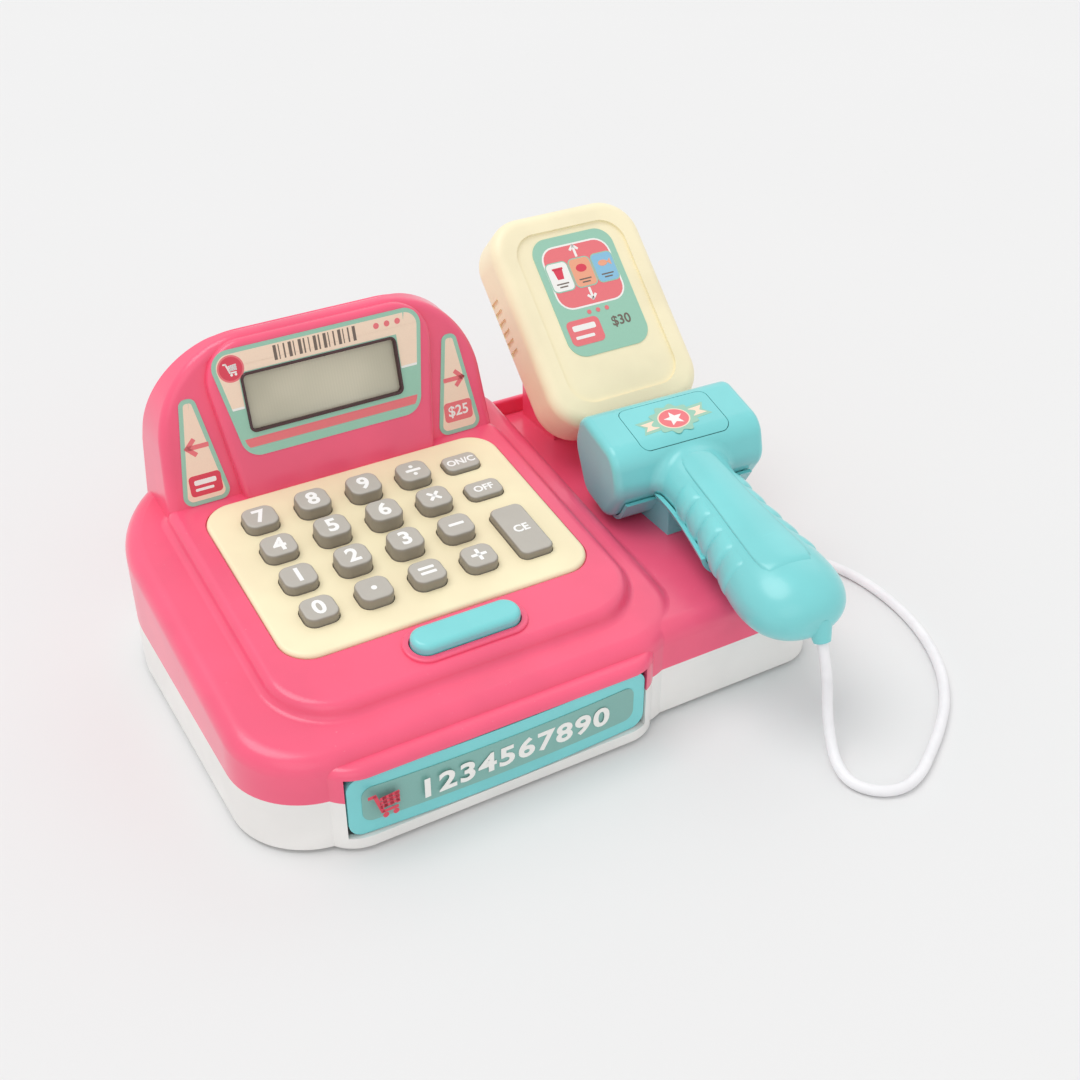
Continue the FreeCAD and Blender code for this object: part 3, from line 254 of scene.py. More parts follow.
def mouldedPlastic(name, colour, gloss, skin=0.000006, wear=0.10, coat=0.0):
    # colour = clouds of two near tones, then dust where a face looks up
    # roughness = gloss + fine noise + long scuffs; height = orange peel 1 mm wide + slow waves + scuffs
    finish = Finish(name)
    cloud = finish.noise(26, 3)
    peel = finish.noise(950, 2)
    wave = finish.noise(90, 1)
    scuff = finish.noise(60, 4, (1, 7, 3)).between(0.66, 0.78)
    scuff = scuff + finish.noise(48, 4, (6, 1, 2), 3).between(0.68, 0.8)
    specks = finish.noise(700, 3).between(0.70, 0.78) * finish.facing((0, 0, 1)).between(0.35, 0.9)
    body = finish.mix(shade(colour, 0.955), shade(colour, 1.03), cloud.between(0.35, 0.65))
    worn = finish.mix(body, shade(colour, 1.18), scuff * wear)
    finish.set(Base_Color=finish.mix(worn, colours["dust"], specks * 0.1),
               Roughness=gloss + peel * 0.04 + scuff * 0.12 + specks * 0.15,
               IOR=1.49, Coat_Weight=coat, Coat_Roughness=0.18)
    finish.bump(peel + wave * 2.0 - scuff * 0.4, skin)
    return finish.material


def keyPlastic(name, top, side, out):
    # colour = a darker tone painted on the sides as shade, turning to the top's tone where the face looks
    # along the key's travel
    finish = Finish(name)
    face = finish.facing(out).between(0.55, 0.93)
    cloud = finish.noise(160, 3)
    rub = finish.noise(420, 4).between(0.62, 0.75)
    tops = finish.mix(shade(top, 0.96), shade(top, 1.03), cloud)
    finish.set(Base_Color=finish.mix(side, finish.mix(tops, shade(top, 1.1), rub * 0.35), face),
               Roughness=0.46 + rub * 0.12 - face * 0.03, IOR=1.47)
    finish.bump(finish.noise(1300, 2) + finish.noise(160, 1) * 2.0, 0.00002)
    return finish.material


def printedFilm(name, colour, gloss=0.3):
    # colour = print grain of two near tones with a few rubbed flecks; height = the film's slow waves
    finish = Finish(name)
    grain = finish.noise(1500, 2)
    rub = finish.noise(300, 5).between(0.70, 0.80)
    body = finish.mix(shade(colour, 0.96), shade(colour, 1.03), grain)
    finish.set(Base_Color=finish.mix(body, shade(colour, 1.2), rub * 0.4),
               Roughness=gloss + grain * 0.06 + rub * 0.2, IOR=1.5)
    finish.bump(finish.noise(120, 2) + grain * 0.1, 0.00005)
    return finish.material


def rubber(name, colour, gloss):
    # colour and roughness = fine mottling; height = a matt grain
    finish = Finish(name)
    grain = finish.noise(1800, 3)
    cloud = finish.noise(120, 3)
    finish.set(Base_Color=finish.mix(shade(colour, 0.9), shade(colour, 1.1), cloud),
               Roughness=gloss + grain * 0.12, IOR=1.52)
    finish.bump(grain + cloud, 0.00003)
    return finish.material


def metal(name, colour, gloss):
    # roughness = drawn streaks; colour = slight tarnish in clouds
    finish = Finish(name)
    streak = finish.noise(900, 3, (1, 12, 1))
    tarnish = finish.noise(240, 4).between(0.55, 0.75)
    finish.set(Base_Color=finish.mix(colour, shade(colour, 0.65), tarnish * 0.5),
               Roughness=gloss + streak * 0.15 + tarnish * 0.15, Metallic=1.0)
    finish.bump(streak, 0.00002)
    return finish.material


def circuitBoard(name, colour):
    # colour = lacquer with faint copper tracks, the tracks being bands of a stretched cell pattern
    finish = Finish(name)
    cells = finish.node("TexVoronoi", {"feature": "F1", "distance": "MANHATTAN"},
                        {"Vector": finish.place, "Scale": 160.0}, out="Distance")
    track = cells.between(0.55, 0.6)
    finish.set(Base_Color=finish.mix(colour, shade(colour, 1.7), track),
               Roughness=0.35 + finish.noise(500, 2) * 0.15)
    finish.bump(track, 0.00004)
    return finish.material


def lcdGlass(name, deep, pale):
    # colour = grey-green panel with a slow tone change and a fine vertical grain of the cell lines
    finish = Finish(name)
    slow = finish.noise(22, 2)
    lines = finish.node("TexWave", {"bands_direction": "X"}, {"Vector": finish.place, "Scale": 260.0})
    smear = finish.noise(70, 4, (1, 3, 2)).between(0.6, 0.75)
    body = finish.mix(deep, pale, slow.between(0.3, 0.7))
    finish.set(Base_Color=finish.mix(body, shade(deep, 0.9), lines * 0.10),
               Roughness=0.13 + smear * 0.14, IOR=1.5, Coat_Weight=0.4, Coat_Roughness=0.05)
    finish.bump(finish.noise(45, 2), 0.00008)
    return finish.material


def darkGlass(name, colour):
    # colour = deep tone with a slow change; roughness = smears
    finish = Finish(name)
    smear = finish.noise(90, 4).between(0.55, 0.75)
    finish.set(Base_Color=finish.mix(colour, shade(colour, 1.5), smear * 0.3),
               Roughness=0.08 + smear * 0.15, IOR=1.5)
    finish.bump(finish.noise(50, 2), 0.00004)
    return finish.material


# the keys' plane leans by tilt; out = its normal
keypad = {"tilt": math.radians(7.215)}
keypad["out"] = (0.0, -math.sin(keypad["tilt"]), math.cos(keypad["tilt"]))

colours = {
    "pink": tone(249, 92, 128), "white": tone(243, 241, 238), "teal": tone(126, 216, 218),
    "cream": tone(254, 240, 202), "screenCream": tone(252, 240, 204), "keyTop": tone(190, 185, 176),
    # the keys' side tone is a darker copy of their top tone, painted shade for the sides
    "keySide": tone(150, 142, 130), "mint": tone(158, 206, 184), "peach": tone(253, 226, 202),
    "coral": tone(240, 122, 128), "red": tone(226, 68, 90), "ink": tone(118, 104, 94),
    "legend": tone(252, 252, 250), "band": tone(134, 184, 176), "cordWhite": tone(244, 243, 246),
    "dust": tone(236, 232, 226),
}

# mouldedPlastic's values: colour, gloss, depth of the skin, wear, clear coat
finishes = {
    "whiteShell": mouldedPlastic("whiteShell", colours["white"], 0.34),
    "pinkShell": mouldedPlastic("pinkShell", colours["pink"], 0.27, 0.000007, 0.14, 0.4),
    "tealPlastic": mouldedPlastic("tealPlastic", colours["teal"], 0.27, 0.000006, 0.12, 0.4),
    "creamPlate": mouldedPlastic("creamPlate", colours["cream"], 0.4, 0.000008, 0.06),
    "screenCream": mouldedPlastic("screenCream", colours["screenCream"], 0.36, 0.000008, 0.06),
    "keyGrey": keyPlastic("keyGrey", colours["keyTop"], colours["keySide"], keypad["out"]),
    "latchWhite": mouldedPlastic("latchWhite", tone(214, 214, 210), 0.45),
    "blackRubber": rubber("blackRubber", tone(44, 44, 46), 0.6),
    "greyRubber": rubber("greyRubber", tone(96, 92, 90), 0.6),
    "cordWhite": rubber("cordWhite", colours["cordWhite"], 0.34),
    "steel": metal("steel", tone(196, 198, 202), 0.25),
    "batteryWrap": mouldedPlastic("batteryWrap", tone(66, 78, 92), 0.3),
    "circuitBoard": circuitBoard("circuitBoard", tone(38, 96, 62)),
    "speakerPaper": rubber("speakerPaper", tone(58, 56, 58), 0.7),
    "mintFilm": printedFilm("mintFilm", colours["mint"]),
    "bandFilm": printedFilm("bandFilm", colours["band"]),
    "peachFilm": printedFilm("peachFilm", colours["peach"]),
    "coralFilm": printedFilm("coralFilm", colours["coral"]),
    "redFilm": printedFilm("redFilm", colours["red"]),
    "whiteFilm": printedFilm("whiteFilm", tone(248, 246, 242)),
    "inkFilm": printedFilm("inkFilm", colours["ink"]),
    "blueFilm": printedFilm("blueFilm", tone(142, 196, 226)),
    "orangeFilm": printedFilm("orangeFilm", tone(244, 170, 138)),
    "legendWhite": printedFilm("legendWhite", colours["legend"], 0.42),
    "lcdGlass": lcdGlass("lcdGlass", tone(186, 182, 160), tone(214, 208, 186)),
    "bezelDark": darkGlass("bezelDark", tone(74, 46, 50)),
    "windowRed": darkGlass("windowRed", tone(60, 14, 22)),
}

nodeFinish = {
    "whiteShell": ["base_shell", "battery_door", "drawer_box"],
    "pinkShell": ["top_housing", "display_hood", "rear_cover", "screen_stand"],
    "tealPlastic": ["release_button", "drawer_front", "scanner_upper_shell", "scanner_lower_shell",
                    "scan_button", "scanner_cradle", "cord_gland"],
    "creamPlate": ["keypad_plate"],
    "screenCream": ["screen_front_shell", "screen_back_shell"],
    "latchWhite": ["drawer_latch"],
    "blackRubber": ["rubber_feet"],
    "greyRubber": ["rubber_key_mat"],
    "cordWhite": ["cord_grommet", "scanner_cord"],
    "steel": ["case_screws", "battery_contacts", "latch_pin", "drawer_spring"],
    "batteryWrap": ["batteries"],
    "circuitBoard": ["key_board", "main_board", "scanner_board"],
    "speakerPaper": ["speaker"],
    "mintFilm": ["display_label", "side_label_left", "side_label_right", "screen_label"],
    "bandFilm": ["drawer_label"],
    "lcdGlass": ["display_lens", "display_module"],
    "windowRed": ["scanner_window"],
    "keyGrey": [name for name in nodes if name.startswith("key_") and name != "key_board"],
}


def coverNodes():
    # every node of the frame gets the finish that its name stands under
    for finish, names in nodeFinish.items():
        for name in names:
            slots = nodes[name].data.materials
            slots.clear()
            slots.append(finishes[finish])
    print("nodes without a finish:", sorted(set(nodes) - {n for names in nodeFinish.values() for n in names}))


coverNodes()
makeCord(finishes["cordWhite"])


# flat prints and legends are thin solids on the face that carries them: sunk = how far one starts under
# its level, in shares of its thickness, sharpest = the least cosine that an inset corner follows
flatPrint = {"thick": 0.00004, "sunk": 0.5, "corner": 0.0002, "cornerPoints": 7, "sharpest": 0.35}


def corners(name):
    mesh = nodes[name].data
    flat = np.zeros(len(mesh.vertices) * 3)
    mesh.vertices.foreach_get("co", flat)
    return flat.reshape(-1, 3)


def faceFrame(name, out):
    # right = world X made square to out, up = out x right, middle = middle of the node's extents in both
    out = np.array(out) / np.linalg.norm(out)
    right = np.array((1.0, 0, 0)) - out[0] * out
    right /= np.linalg.norm(right)
    up = np.cross(out, right)
    axes = np.stack([right, up, out])
    spread = corners(name) @ axes.T
    low, high = spread.min(axis=0), spread.max(axis=0)
    middle = np.array([(low[0] + high[0]) / 2, (low[1] + high[1]) / 2, high[2]]) @ axes
    return {"axes": axes, "middle": middle}


def extent(name, face):
    spread = (corners(name) - face["middle"]) @ face["axes"].T
    return spread.min(axis=0), spread.max(axis=0)


def outlineOf(name, face):
    # the convex hull of the node as seen along the face's out, anticlockwise
    spread = ((corners(name) - face["middle"]) @ face["axes"].T)[:, :2]
    ring = convex_hull_2d([Vector(point) for point in spread])
    outline = spread[ring]
    turn = np.sum(outline[:, 0] * np.roll(outline[:, 1], -1) - outline[:, 1] * np.roll(outline[:, 0], -1))
    return outline if turn > 0 else outline[::-1]


def inset(outline, depth):
    # each corner moves inwards along the mean of its two sides' normals, by depth over the half turn's cosine
    along = np.roll(outline, -1, axis=0) - outline
    along /= np.linalg.norm(along, axis=1)[:, None] + 1e-12
    normal = np.stack([-along[:, 1], along[:, 0]], axis=1)
    mean = normal + np.roll(normal, 1, axis=0)
    mean /= np.linalg.norm(mean, axis=1)[:, None] + 1e-12
    slant = np.clip(np.sum(mean * normal, axis=1), flatPrint["sharpest"], 1)
    return outline + mean * (depth / slant)[:, None]


def clipped(outline, direction, limit):
    # keeps the side where point . direction <= limit, with new points where the outline meets the line
    side = outline @ np.array(direction, float) - limit
    after = np.roll(side, -1)
    crossing = side * after < 0
    share = np.where(crossing, side / np.where(crossing, side - after, 1), 0)
    meets = outline + share[:, None] * (np.roll(outline, -1, axis=0) - outline)
    both = np.stack([outline, meets], axis=1).reshape(-1, 2)
    return both[np.stack([side <= 0, crossing], axis=1).ravel()]


def disc(x, y, radius, count=40):
    # (x + r cos a, y + r sin a) for even steps of a
    angle = np.linspace(0, 2 * math.pi, count, endpoint=False)
    return np.stack([x + radius * np.cos(angle), y + radius * np.sin(angle)], axis=1)


def oval(x, y, width, height):
    # a unit disc, scaled by half the width and half the height
    return disc(0, 0, 1, 48) * (width / 2, height / 2) + (x, y)


def bar(x0, y0, x1, y1, radius=flatPrint["corner"]):
    # a rectangle whose four corners are quarter circles, each a quarter turn on from the one before
    angle = np.linspace(0, math.pi / 2, flatPrint["cornerPoints"])
    quarter = np.stack([np.cos(angle), np.sin(angle)], axis=1) * radius
    turn = np.array([[0, 1], [-1, 0]])
    centres = [(x1 - radius, y1 - radius), (x0 + radius, y1 - radius), (x0 + radius, y0 + radius),
               (x1 - radius, y0 + radius)]
    return np.concatenate([quarter @ np.linalg.matrix_power(turn, i) + centre
                           for i, centre in enumerate(centres)])


def bars(rows, x=0.0, y=0.0):
    # one bar for each (x0, y0, x1, y1, radius), moved by (x, y)
    return [bar(x + x0, y + y0, x + x1, y + y1, radius) for x0, y0, x1, y1, radius in rows]


def turned(outline, degrees, x=0.0, y=0.0):
    # turned anticlockwise about (0, 0), then moved by (x, y)
    angle = math.radians(degrees)
    spin = np.array([[math.cos(angle), math.sin(angle)], [-math.sin(angle), math.cos(angle)]])
    return outline @ spin + (x, y)


# in shares of the arrow's length, but shaft and tip, which are shares of its half
arrowShape = {"half": 0.5, "thick": 0.1, "shaft": 0.85, "tip": 0.86, "tilts": (-45, 45)}


def arrow(x, y, length, degrees):
    # a shaft and two barbs that lean back from its tip, pointing along +X before they are turned
    half, thick = length * arrowShape["half"], length * arrowShape["thick"]
    shaft = bar(-half, -thick, half * arrowShape["shaft"], thick)
    barb = bar(-half, -thick, thick, thick)
    barbs = [turned(barb, tilt, half * arrowShape["tip"], 0) for tilt in arrowShape["tilts"]]
    return [turned(shape, degrees, x, y) for shape in [shaft] + barbs]


# in shares of the cart's size; a rod is its half length, its turn in degrees and its middle
cartShape = {
    "line": 0.055, "handle": [(0.12, 0, -0.38, 0.36), (0.36, -72, -0.2, 0.04)],
    "foot": (-0.12, -0.32, 0.36, -0.22),
    "basket": [(0.29, 5, 0.12, 0.2), (0.29, 5, 0.12, 0.06), (0.29, 5, 0.12, -0.08),
               (0.2, 96, -0.02, 0.05), (0.2, 96, 0.16, 0.05), (0.2, 96, 0.34, 0.05)],
    "wheels": [(-0.02, -0.42, 0.09), (0.28, -0.42, 0.09)],
}


def cart(x, y, size):
    # a handle of two rods, a foot, a basket of six rods and two wheels
    line = size * cartShape["line"]

    def rods(key):
        return [turned(bar(-size * half, -line, size * half, line), degrees, size * across, size * level)
                for half, degrees, across, level in cartShape[key]]

    foot = bar(*(size * share for share in cartShape["foot"]))
    wheels = [disc(size * across, size * level, size * radius, 20)
              for across, level, radius in cartShape["wheels"]]
    return [shape + (x, y) for shape in rods("handle") + [foot] + rods("basket") + wheels]


def printOn(name, outlines, face, level, body, finish,
            thick=flatPrint["thick"]):
    # each outline becomes a closed prism from just under its level to one thickness above it
    points, faces, start = [], [], 0
    for outline in outlines:
        count = len(outline)
        for height in (level - flatPrint["sunk"], level + 1):
            points.append(np.c_[outline, np.full(count, height * thick)])
        ring = np.arange(count)
        after = (ring + 1) % count
        faces += (np.stack([ring, after, after + count, ring + count], axis=1) + start).tolist()
        faces += [(ring[::-1] + start).tolist(), (ring + count + start).tolist()]
        start += 2 * count
    placed = np.concatenate(points) @ face["axes"] + face["middle"]
    return finishPiece(meshPiece(name, placed, faces, smooth=False), body, finishes[finish])


# lift = the letters' middle above the face, in shares of their thickness
lettering = {"thick": 0.00012, "lift": 0.3, "resolution": 4}


def letters(name, words, face, place, height, bold, body, finish, thick=lettering["thick"],
            squeeze=1.0, spacing=1.0):
    # the built-in face made bold by an offset, made a mesh, then scaled to the wanted height about its middle
    text = bpy.data.curves.new(name, "FONT")
    text.body = words
    text.offset = bold
    text.extrude = 0.5
    text.space_character = spacing
    text.resolution_u = lettering["resolution"]
    holder = bpy.data.objects.new(name + "Text", text)
    scene.collection.objects.link(holder)
    bpy.context.view_layer.update()
    shaped = holder.evaluated_get(bpy.context.evaluated_depsgraph_get())
    mesh = bpy.data.meshes.new_from_object(shaped)
    bpy.data.objects.remove(holder)
    flat = np.zeros(len(mesh.vertices) * 3)
    mesh.vertices.foreach_get("co", flat)
    flat = flat.reshape(-1, 3)
    low, high = flat.min(axis=0), flat.max(axis=0)
    scale = height / (high[1] - low[1])
    flat = (flat - (low + high) / 2) * (scale * squeeze, scale, thick) + (*place, thick * lettering["lift"])
    mesh.vertices.foreach_set("co", (flat @ face["axes"] + face["middle"]).ravel())
    mesh.update()
    piece = bpy.data.objects.new(name, mesh)
    piece.data.materials.clear()
    scene.collection.objects.link(piece)
    return finishPiece(piece, body, finishes[finish])


# key legends: words with their height; arm and bar = a sign's half width and its line's width;
# round, dot, gap and point are shares of half that line's width, dotPlace a share of the arm
legends = {
    "thick": 0.00006, "level": 0.3, "bold": 0.03, "bar": 0.0014, "arm": 0.0032,
    "round": 0.6, "dot": 1.25, "dotPlace": 0.75, "gap": 1.9, "point": 1.6,
    "words": {**{"key_%d" % i: (str(i), 0.0074) for i in range(10)},
              "key_on_clear": ("ON/C", 0.0036), "key_off": ("OFF", 0.0037),
              "key_clear_entry": ("CE", 0.0041)},
    "signs": ("plus", "minus", "times", "divide", "equals", "point"),
}


def signOutlines(sign):
    # minus = one level line; the others are that line turned, doubled, dotted or left out for a point
    half, arm = legends["bar"] / 2, legends["arm"]
    level = bar(-arm, -half, arm, half, half * legends["round"])
    place, dot, gap = arm * legends["dotPlace"], half * legends["dot"], half * legends["gap"]
    return {
        "minus": [level], "plus": [level, turned(level, 90)],
        "times": [turned(level, 45), turned(level, 135)],
        "divide": [level, disc(0, place, dot, 20), disc(0, -place, dot, 20)],
        "equals": [level + (0, gap), level - (0, gap)], "point": [disc(0, 0, half * legends["point"], 24)],
    }[sign]


def bodyOf(name):
    return next(body for body, members in frame["record"]["behaviour"]["bodies"].items() if name in members)


def makeLegends():
    for name, (words, height) in legends["words"].items():
        letters("legend_" + name[4:], words, faceFrame(name, keypad["out"]), (0, 0), height, legends["bold"],
                bodyOf(name), "legendWhite", legends["thick"])
    for sign in legends["signs"]:
        name = "key_" + sign
        printOn("legend_" + sign, signOutlines(sign), faceFrame(name, keypad["out"]), legends["level"],
                bodyOf(name), "legendWhite", thick=legends["thick"])
    print("key legends made")


makeLegends()


# prints on the display's sticker, in metres from its middle; barWidths are shares of a step along the bars,
# rimProfile is (share of the rim's width, share of its height) from the lens outwards
displayPrint = {
    "out": (0, -0.969, 0.247), "border": 0.0017, "split": -0.0012, "line": 0.0009,
    "stripe": (-0.0178, -0.0142),
    "dots": [(0.0246, 0.0171), (0.0292, 0.0171), (0.0338, 0.0171)], "dot": 0.0012,
    "disc": (-0.0362, 0.0142, 0.0046), "discRing": 0.0007, "cart": 1.25,
    "bars": (-0.0185, 0.0165, 0.0134, 0.0192), "barCorner": 0.00005,
    "barWidths": (0.62, 0.2, 0.3, 0.62, 0.2, 0.62, 0.3, 0.2, 0.62, 0.3, 0.62, 0.2, 0.3, 0.62, 0.2, 0.3, 0.62),
    "rim": 0.0011, "rimGap": 0.0004, "rimHeight": 0.0009, "rimCorner": 0.0016, "rimFoot": 0.00005,
    "rimProfile": [(0.0, 0.5), (0.35, 1.0), (0.8, 0.8), (1.0, 0.0)],
}


def makeDisplayPrint(face, low, high):
    # the sticker's outline, inset and cut by level and upright lines into fields round the lens
    inner = inset(outlineOf("display_label", face), displayPrint["border"])
    edge = displayPrint["rim"] + displayPrint["rimGap"]
    left, right, head = low[0] - edge, high[0] + edge, high[1] + edge
    split, line = displayPrint["split"], displayPrint["line"]
    upper = clipped(inner, (0, -1), -split)
    upper = [clipped(upper, (0, -1), -head), clipped(clipped(upper, (1, 0), left), (0, 1), head),
             clipped(clipped(upper, (-1, 0), -right), (0, 1), head)]
    printOn("displayPeach", upper, face, 0, "root", "peachFilm")
    band = clipped(clipped(inner, (0, 1), split), (0, -1), -(split - line))
    printOn("displayLine", [clipped(band, (1, 0), left), clipped(band, (-1, 0), -right)], face, 0, "root",
            "whiteFilm")
    foot, top = displayPrint["stripe"]
    stripe = clipped(clipped(inner, (0, 1), top), (0, -1), -foot)
    printOn("displayStripe", [stripe], face, 0, "root", "coralFilm")
    dots = [disc(x, y, displayPrint["dot"]) for x, y in displayPrint["dots"]]
    printOn("displayDots", dots, face, 1, "root", "coralFilm")
    x, y, radius = displayPrint["disc"]
    printOn("displayDisc", [disc(x, y, radius)], face, 1, "root", "redFilm")
    ring = disc(x, y, radius + displayPrint["discRing"])
    printOn("displayDiscRing", [ring], face, 0.5, "root", "coralFilm")
    printOn("displayCart", cart(x, y, radius * displayPrint["cart"]), face, 2, "root", "whiteFilm")
    x0, x1, y0, y1 = displayPrint["bars"]
    step = (x1 - x0) / len(displayPrint["barWidths"])
    rows = [(step * i, y0, step * (i + width), y1, displayPrint["barCorner"])
            for i, width in enumerate(displayPrint["barWidths"])]
    printOn("displayBars", bars(rows, x0), face, 1, "root", "inkFilm")


def makeDisplayRim(face, low, high):
    # ring(t, s): a rounded rectangle round the lens whose offset and height follow the profile's pairs
    rim, rise, corner = displayPrint["rim"], displayPrint["rimHeight"], displayPrint["rimCorner"]
    deep = extent("display_lens", face)[1][2] + displayPrint["rimFoot"]
    profile = [(0.0, deep)] + [(rim * out, rise * up) for out, up in displayPrint["rimProfile"]]
    rings = [bar(low[0] - grow, low[1] - grow, high[0] + grow, high[1] + grow, corner + grow)
             for grow, height in profile]
    count = len(rings[0])
    rings = [np.c_[ring, np.full(count, height)] for ring, (grow, height) in zip(rings, profile)]
    placed = np.concatenate(rings) @ face["axes"] + face["middle"]
    piece = meshPiece("displayRim", placed, gridFaces(len(profile), count)[:, ::-1])
    finishPiece(piece, "root", finishes["bezelDark"])


displayFace = faceFrame("display_label", displayPrint["out"])
lensLow, lensHigh = extent("display_lens", displayFace)
makeDisplayPrint(displayFace, lensLow, lensHigh)
makeDisplayRim(displayFace, lensLow, lensHigh)
print("display made")


# side stickers: button = half width, half height, corner; lines are bars about the button's middle
sidePrint = {
    "out": (0, -0.974, 0.228), "border": 0.0017, "arrow": (0, 0.002, 0.0092),
    "button": (0.0064, 0.0042, 0.0016),
    "left": {"arrow": 180, "button": (0.0004, -0.0133), "finish": "redFilm"},
    "right": {"arrow": 0, "button": (0.0002, -0.0118), "finish": "coralFilm"},
    "lines": [(-0.0044, 0.0002, 0.0044, 0.0022, 0.0006), (-0.0044, -0.0022, 0.0030, -0.0011, 0.0004)],
    "price": ("$25", 0.0052, 0.02),
}


def makeSidePrints():
    for side in ("left", "right"):
        name = "side_label_" + side
        face = faceFrame(name, sidePrint["out"])
        printOn("sidePeach_" + side, [inset(outlineOf(name, face), sidePrint["border"])], face, 0, "root",
                "peachFilm")
        printOn("sideArrow_" + side, arrow(*sidePrint["arrow"], sidePrint[side]["arrow"]), face, 1, "root",
                "coralFilm")
        (x, y), (wide, high, corner) = sidePrint[side]["button"], sidePrint["button"]
        printOn("sideButton_" + side, bars([(-wide, -high, wide, high, corner)], x, y), face, 1, "root",
                sidePrint[side]["finish"])
        if side == "left":
            printOn("sideLines", bars(sidePrint["lines"], x, y), face, 2, "root", "whiteFilm")
        else:
            words, height, bold = sidePrint["price"]
            letters("sidePrice", words, face, (x, y), height, bold, "root", "whiteFilm")


# the price screen's sticker: bars are (x0, y0, x1, y1, corner), ovals (x, y, width, height),
# a card is its half width, half height and corner, and its lines are bars about its middle
screenPrint = {
    "out": (0, -0.688, 0.725), "panel": (-0.0168, -0.0062, 0.0168, 0.0232, 0.0070), "outline": 0.0008,
    "arrows": [(0, 0.0195, 0.0058, 90), (0, -0.0008, 0.0058, -90)],
    "cards": [(-0.0112, "whiteFilm"), (0.0, "orangeFilm"), (0.0112, "blueFilm")], "cardY": 0.0093,
    "card": (0.0050, 0.0064, 0.0020), "cardRim": 0.0005,
    "cardLines": [(-0.003, -0.0035, 0.003, -0.0029, 0.0002), (-0.002, -0.0049, 0.002, -0.0043, 0.0002)],
    "cup": [(-0.0090, 0.0128), (-0.0097, 0.0082), (-0.0127, 0.0082), (-0.0134, 0.0128)],
    "cupRim": (-0.0138, 0.0126, -0.0086, 0.0135, 0.0003), "bun": (0, 0.0112, 0.0052, 0.0036),
    "fish": (0.0108, 0.0112, 0.0046, 0.0028), "tail": [(0.0148, 0.0096), (0.0148, 0.0128), (0.0128, 0.0112)],
    "dots": [(-0.0044, -0.0086), (0.0, -0.0086), (0.0044, -0.0086)], "dot": 0.0010,
    "button": (-0.0175, -0.0222, -0.0015, -0.0108, 0.0024),
    "buttonLines": [(-0.0056, -0.0158, 0.0056, -0.0132, 0.0007), (-0.0056, -0.0194, 0.0036, -0.0180, 0.0005)],
    "price": ("$30", (0.0088, -0.0155), 0.0052, 0.015),
}


def makeScreenPrint():
    face = faceFrame("screen_label", screenPrint["out"])
    x0, y0, x1, y1, radius = screenPrint["panel"]
    line = screenPrint["outline"]
    printOn("screenPanelLine", bars([screenPrint["panel"]]), face, 0, "root", "whiteFilm")
    printOn("screenPanel", [bar(x0 + line, y0 + line, x1 - line, y1 - line, radius - line)], face, 1, "root",
            "coralFilm")
    arrows = [shape for values in screenPrint["arrows"] for shape in arrow(*values)]
    printOn("screenArrows", arrows, face, 2, "root", "whiteFilm")
    wide, high, corner = screenPrint["card"]
    middle, rim = screenPrint["cardY"], screenPrint["cardRim"]
    for i, (x, finish) in enumerate(screenPrint["cards"]):
        card = bar(x - wide, middle - high, x + wide, middle + high, corner)
        around = bar(x - wide - rim, middle - high - rim, x + wide + rim, middle + high + rim, corner + rim)
        printOn("screenCardRim_%d" % i, [around], face, 3, "root", "mintFilm")
        printOn("screenCard_%d" % i, [card], face, 4, "root", finish)
        printOn("screenCardLines_%d" % i, bars(screenPrint["cardLines"], x, middle), face, 5, "root",
                "inkFilm")
    cup, tail = np.array(screenPrint["cup"]), np.array(screenPrint["tail"])
    printOn("screenCup", [cup, bar(*screenPrint["cupRim"])], face, 5, "root", "redFilm")
    printOn("screenBun", [oval(*screenPrint["bun"])], face, 5, "root", "redFilm")
    printOn("screenFish", [oval(*screenPrint["fish"]), tail], face, 5, "root", "orangeFilm")
    printOn("screenDots", [disc(x, y, screenPrint["dot"]) for x, y in screenPrint["dots"]], face, 2, "root",
            "coralFilm")
    printOn("screenButton", bars([screenPrint["button"]]), face, 1, "root", "coralFilm")
    middle = (screenPrint["button"][0] + screenPrint["button"][2]) / 2
    printOn("screenButtonLines", bars(screenPrint["buttonLines"], middle), face, 2, "root", "whiteFilm")
    words, place, height, bold = screenPrint["price"]
    letters("screenPrice", words, face, place, height, bold, "root", "inkFilm")


drawerPrint = {"out": (0.019, -1.0, 0), "cart": (-0.0468, 0.0008, 0.0128), "figures": "1234567890",
               "place": (0.0055, -0.0002), "height": 0.0088, "bold": 0.03, "squeeze": 1.25, "spacing": 1.12}


def makeDrawerPrint():
    face = faceFrame("drawer_label", drawerPrint["out"])
    printOn("drawerCart", cart(*drawerPrint["cart"]), face, 1, "drawer", "redFilm")
    letters("drawerFigures", drawerPrint["figures"], face, drawerPrint["place"], drawerPrint["height"],
            drawerPrint["bold"], "drawer", "whiteFilm", squeeze=drawerPrint["squeeze"],
            spacing=drawerPrint["spacing"])


makeSidePrints()
makeScreenPrint()
makeDrawerPrint()
print("stickers printed")


# the scanner's moulded grip details, in mm and degrees before the scanner's own pose (centre in metres):
# sections are (distance from the centre towards the cord, width, height, middle's height),
# arcs are angles round the grip from +X to +Z
grip = {
    "centre": (0.093, -0.013, 0.064), "turn": -6.0, "roll": -2.5, "drop": 7.0,
    "sections": [(8, 29, 24, 1), (30, 29, 24, 1), (50, 31, 25, 0.5), (70, 36, 27, 0), (88, 41, 29, 0),
                 (101, 38, 26, 0.5), (109, 27, 18, 1), (112.4, 10, 7, 1)],
    "ridges": [37, 47, 57, 67, 77], "ridgeHalf": 5.2, "ridgeRise": 1.0, "ridgeArc": (128, 206),
    "ridgePeak": 0.45, "ridgeSink": 0.25, "flat": (18, 93), "flatArc": (58, 122), "flatRise": 0.7,
    "flatSink": 0.3, "skin": -1.1, "grid": (33, 41),
}


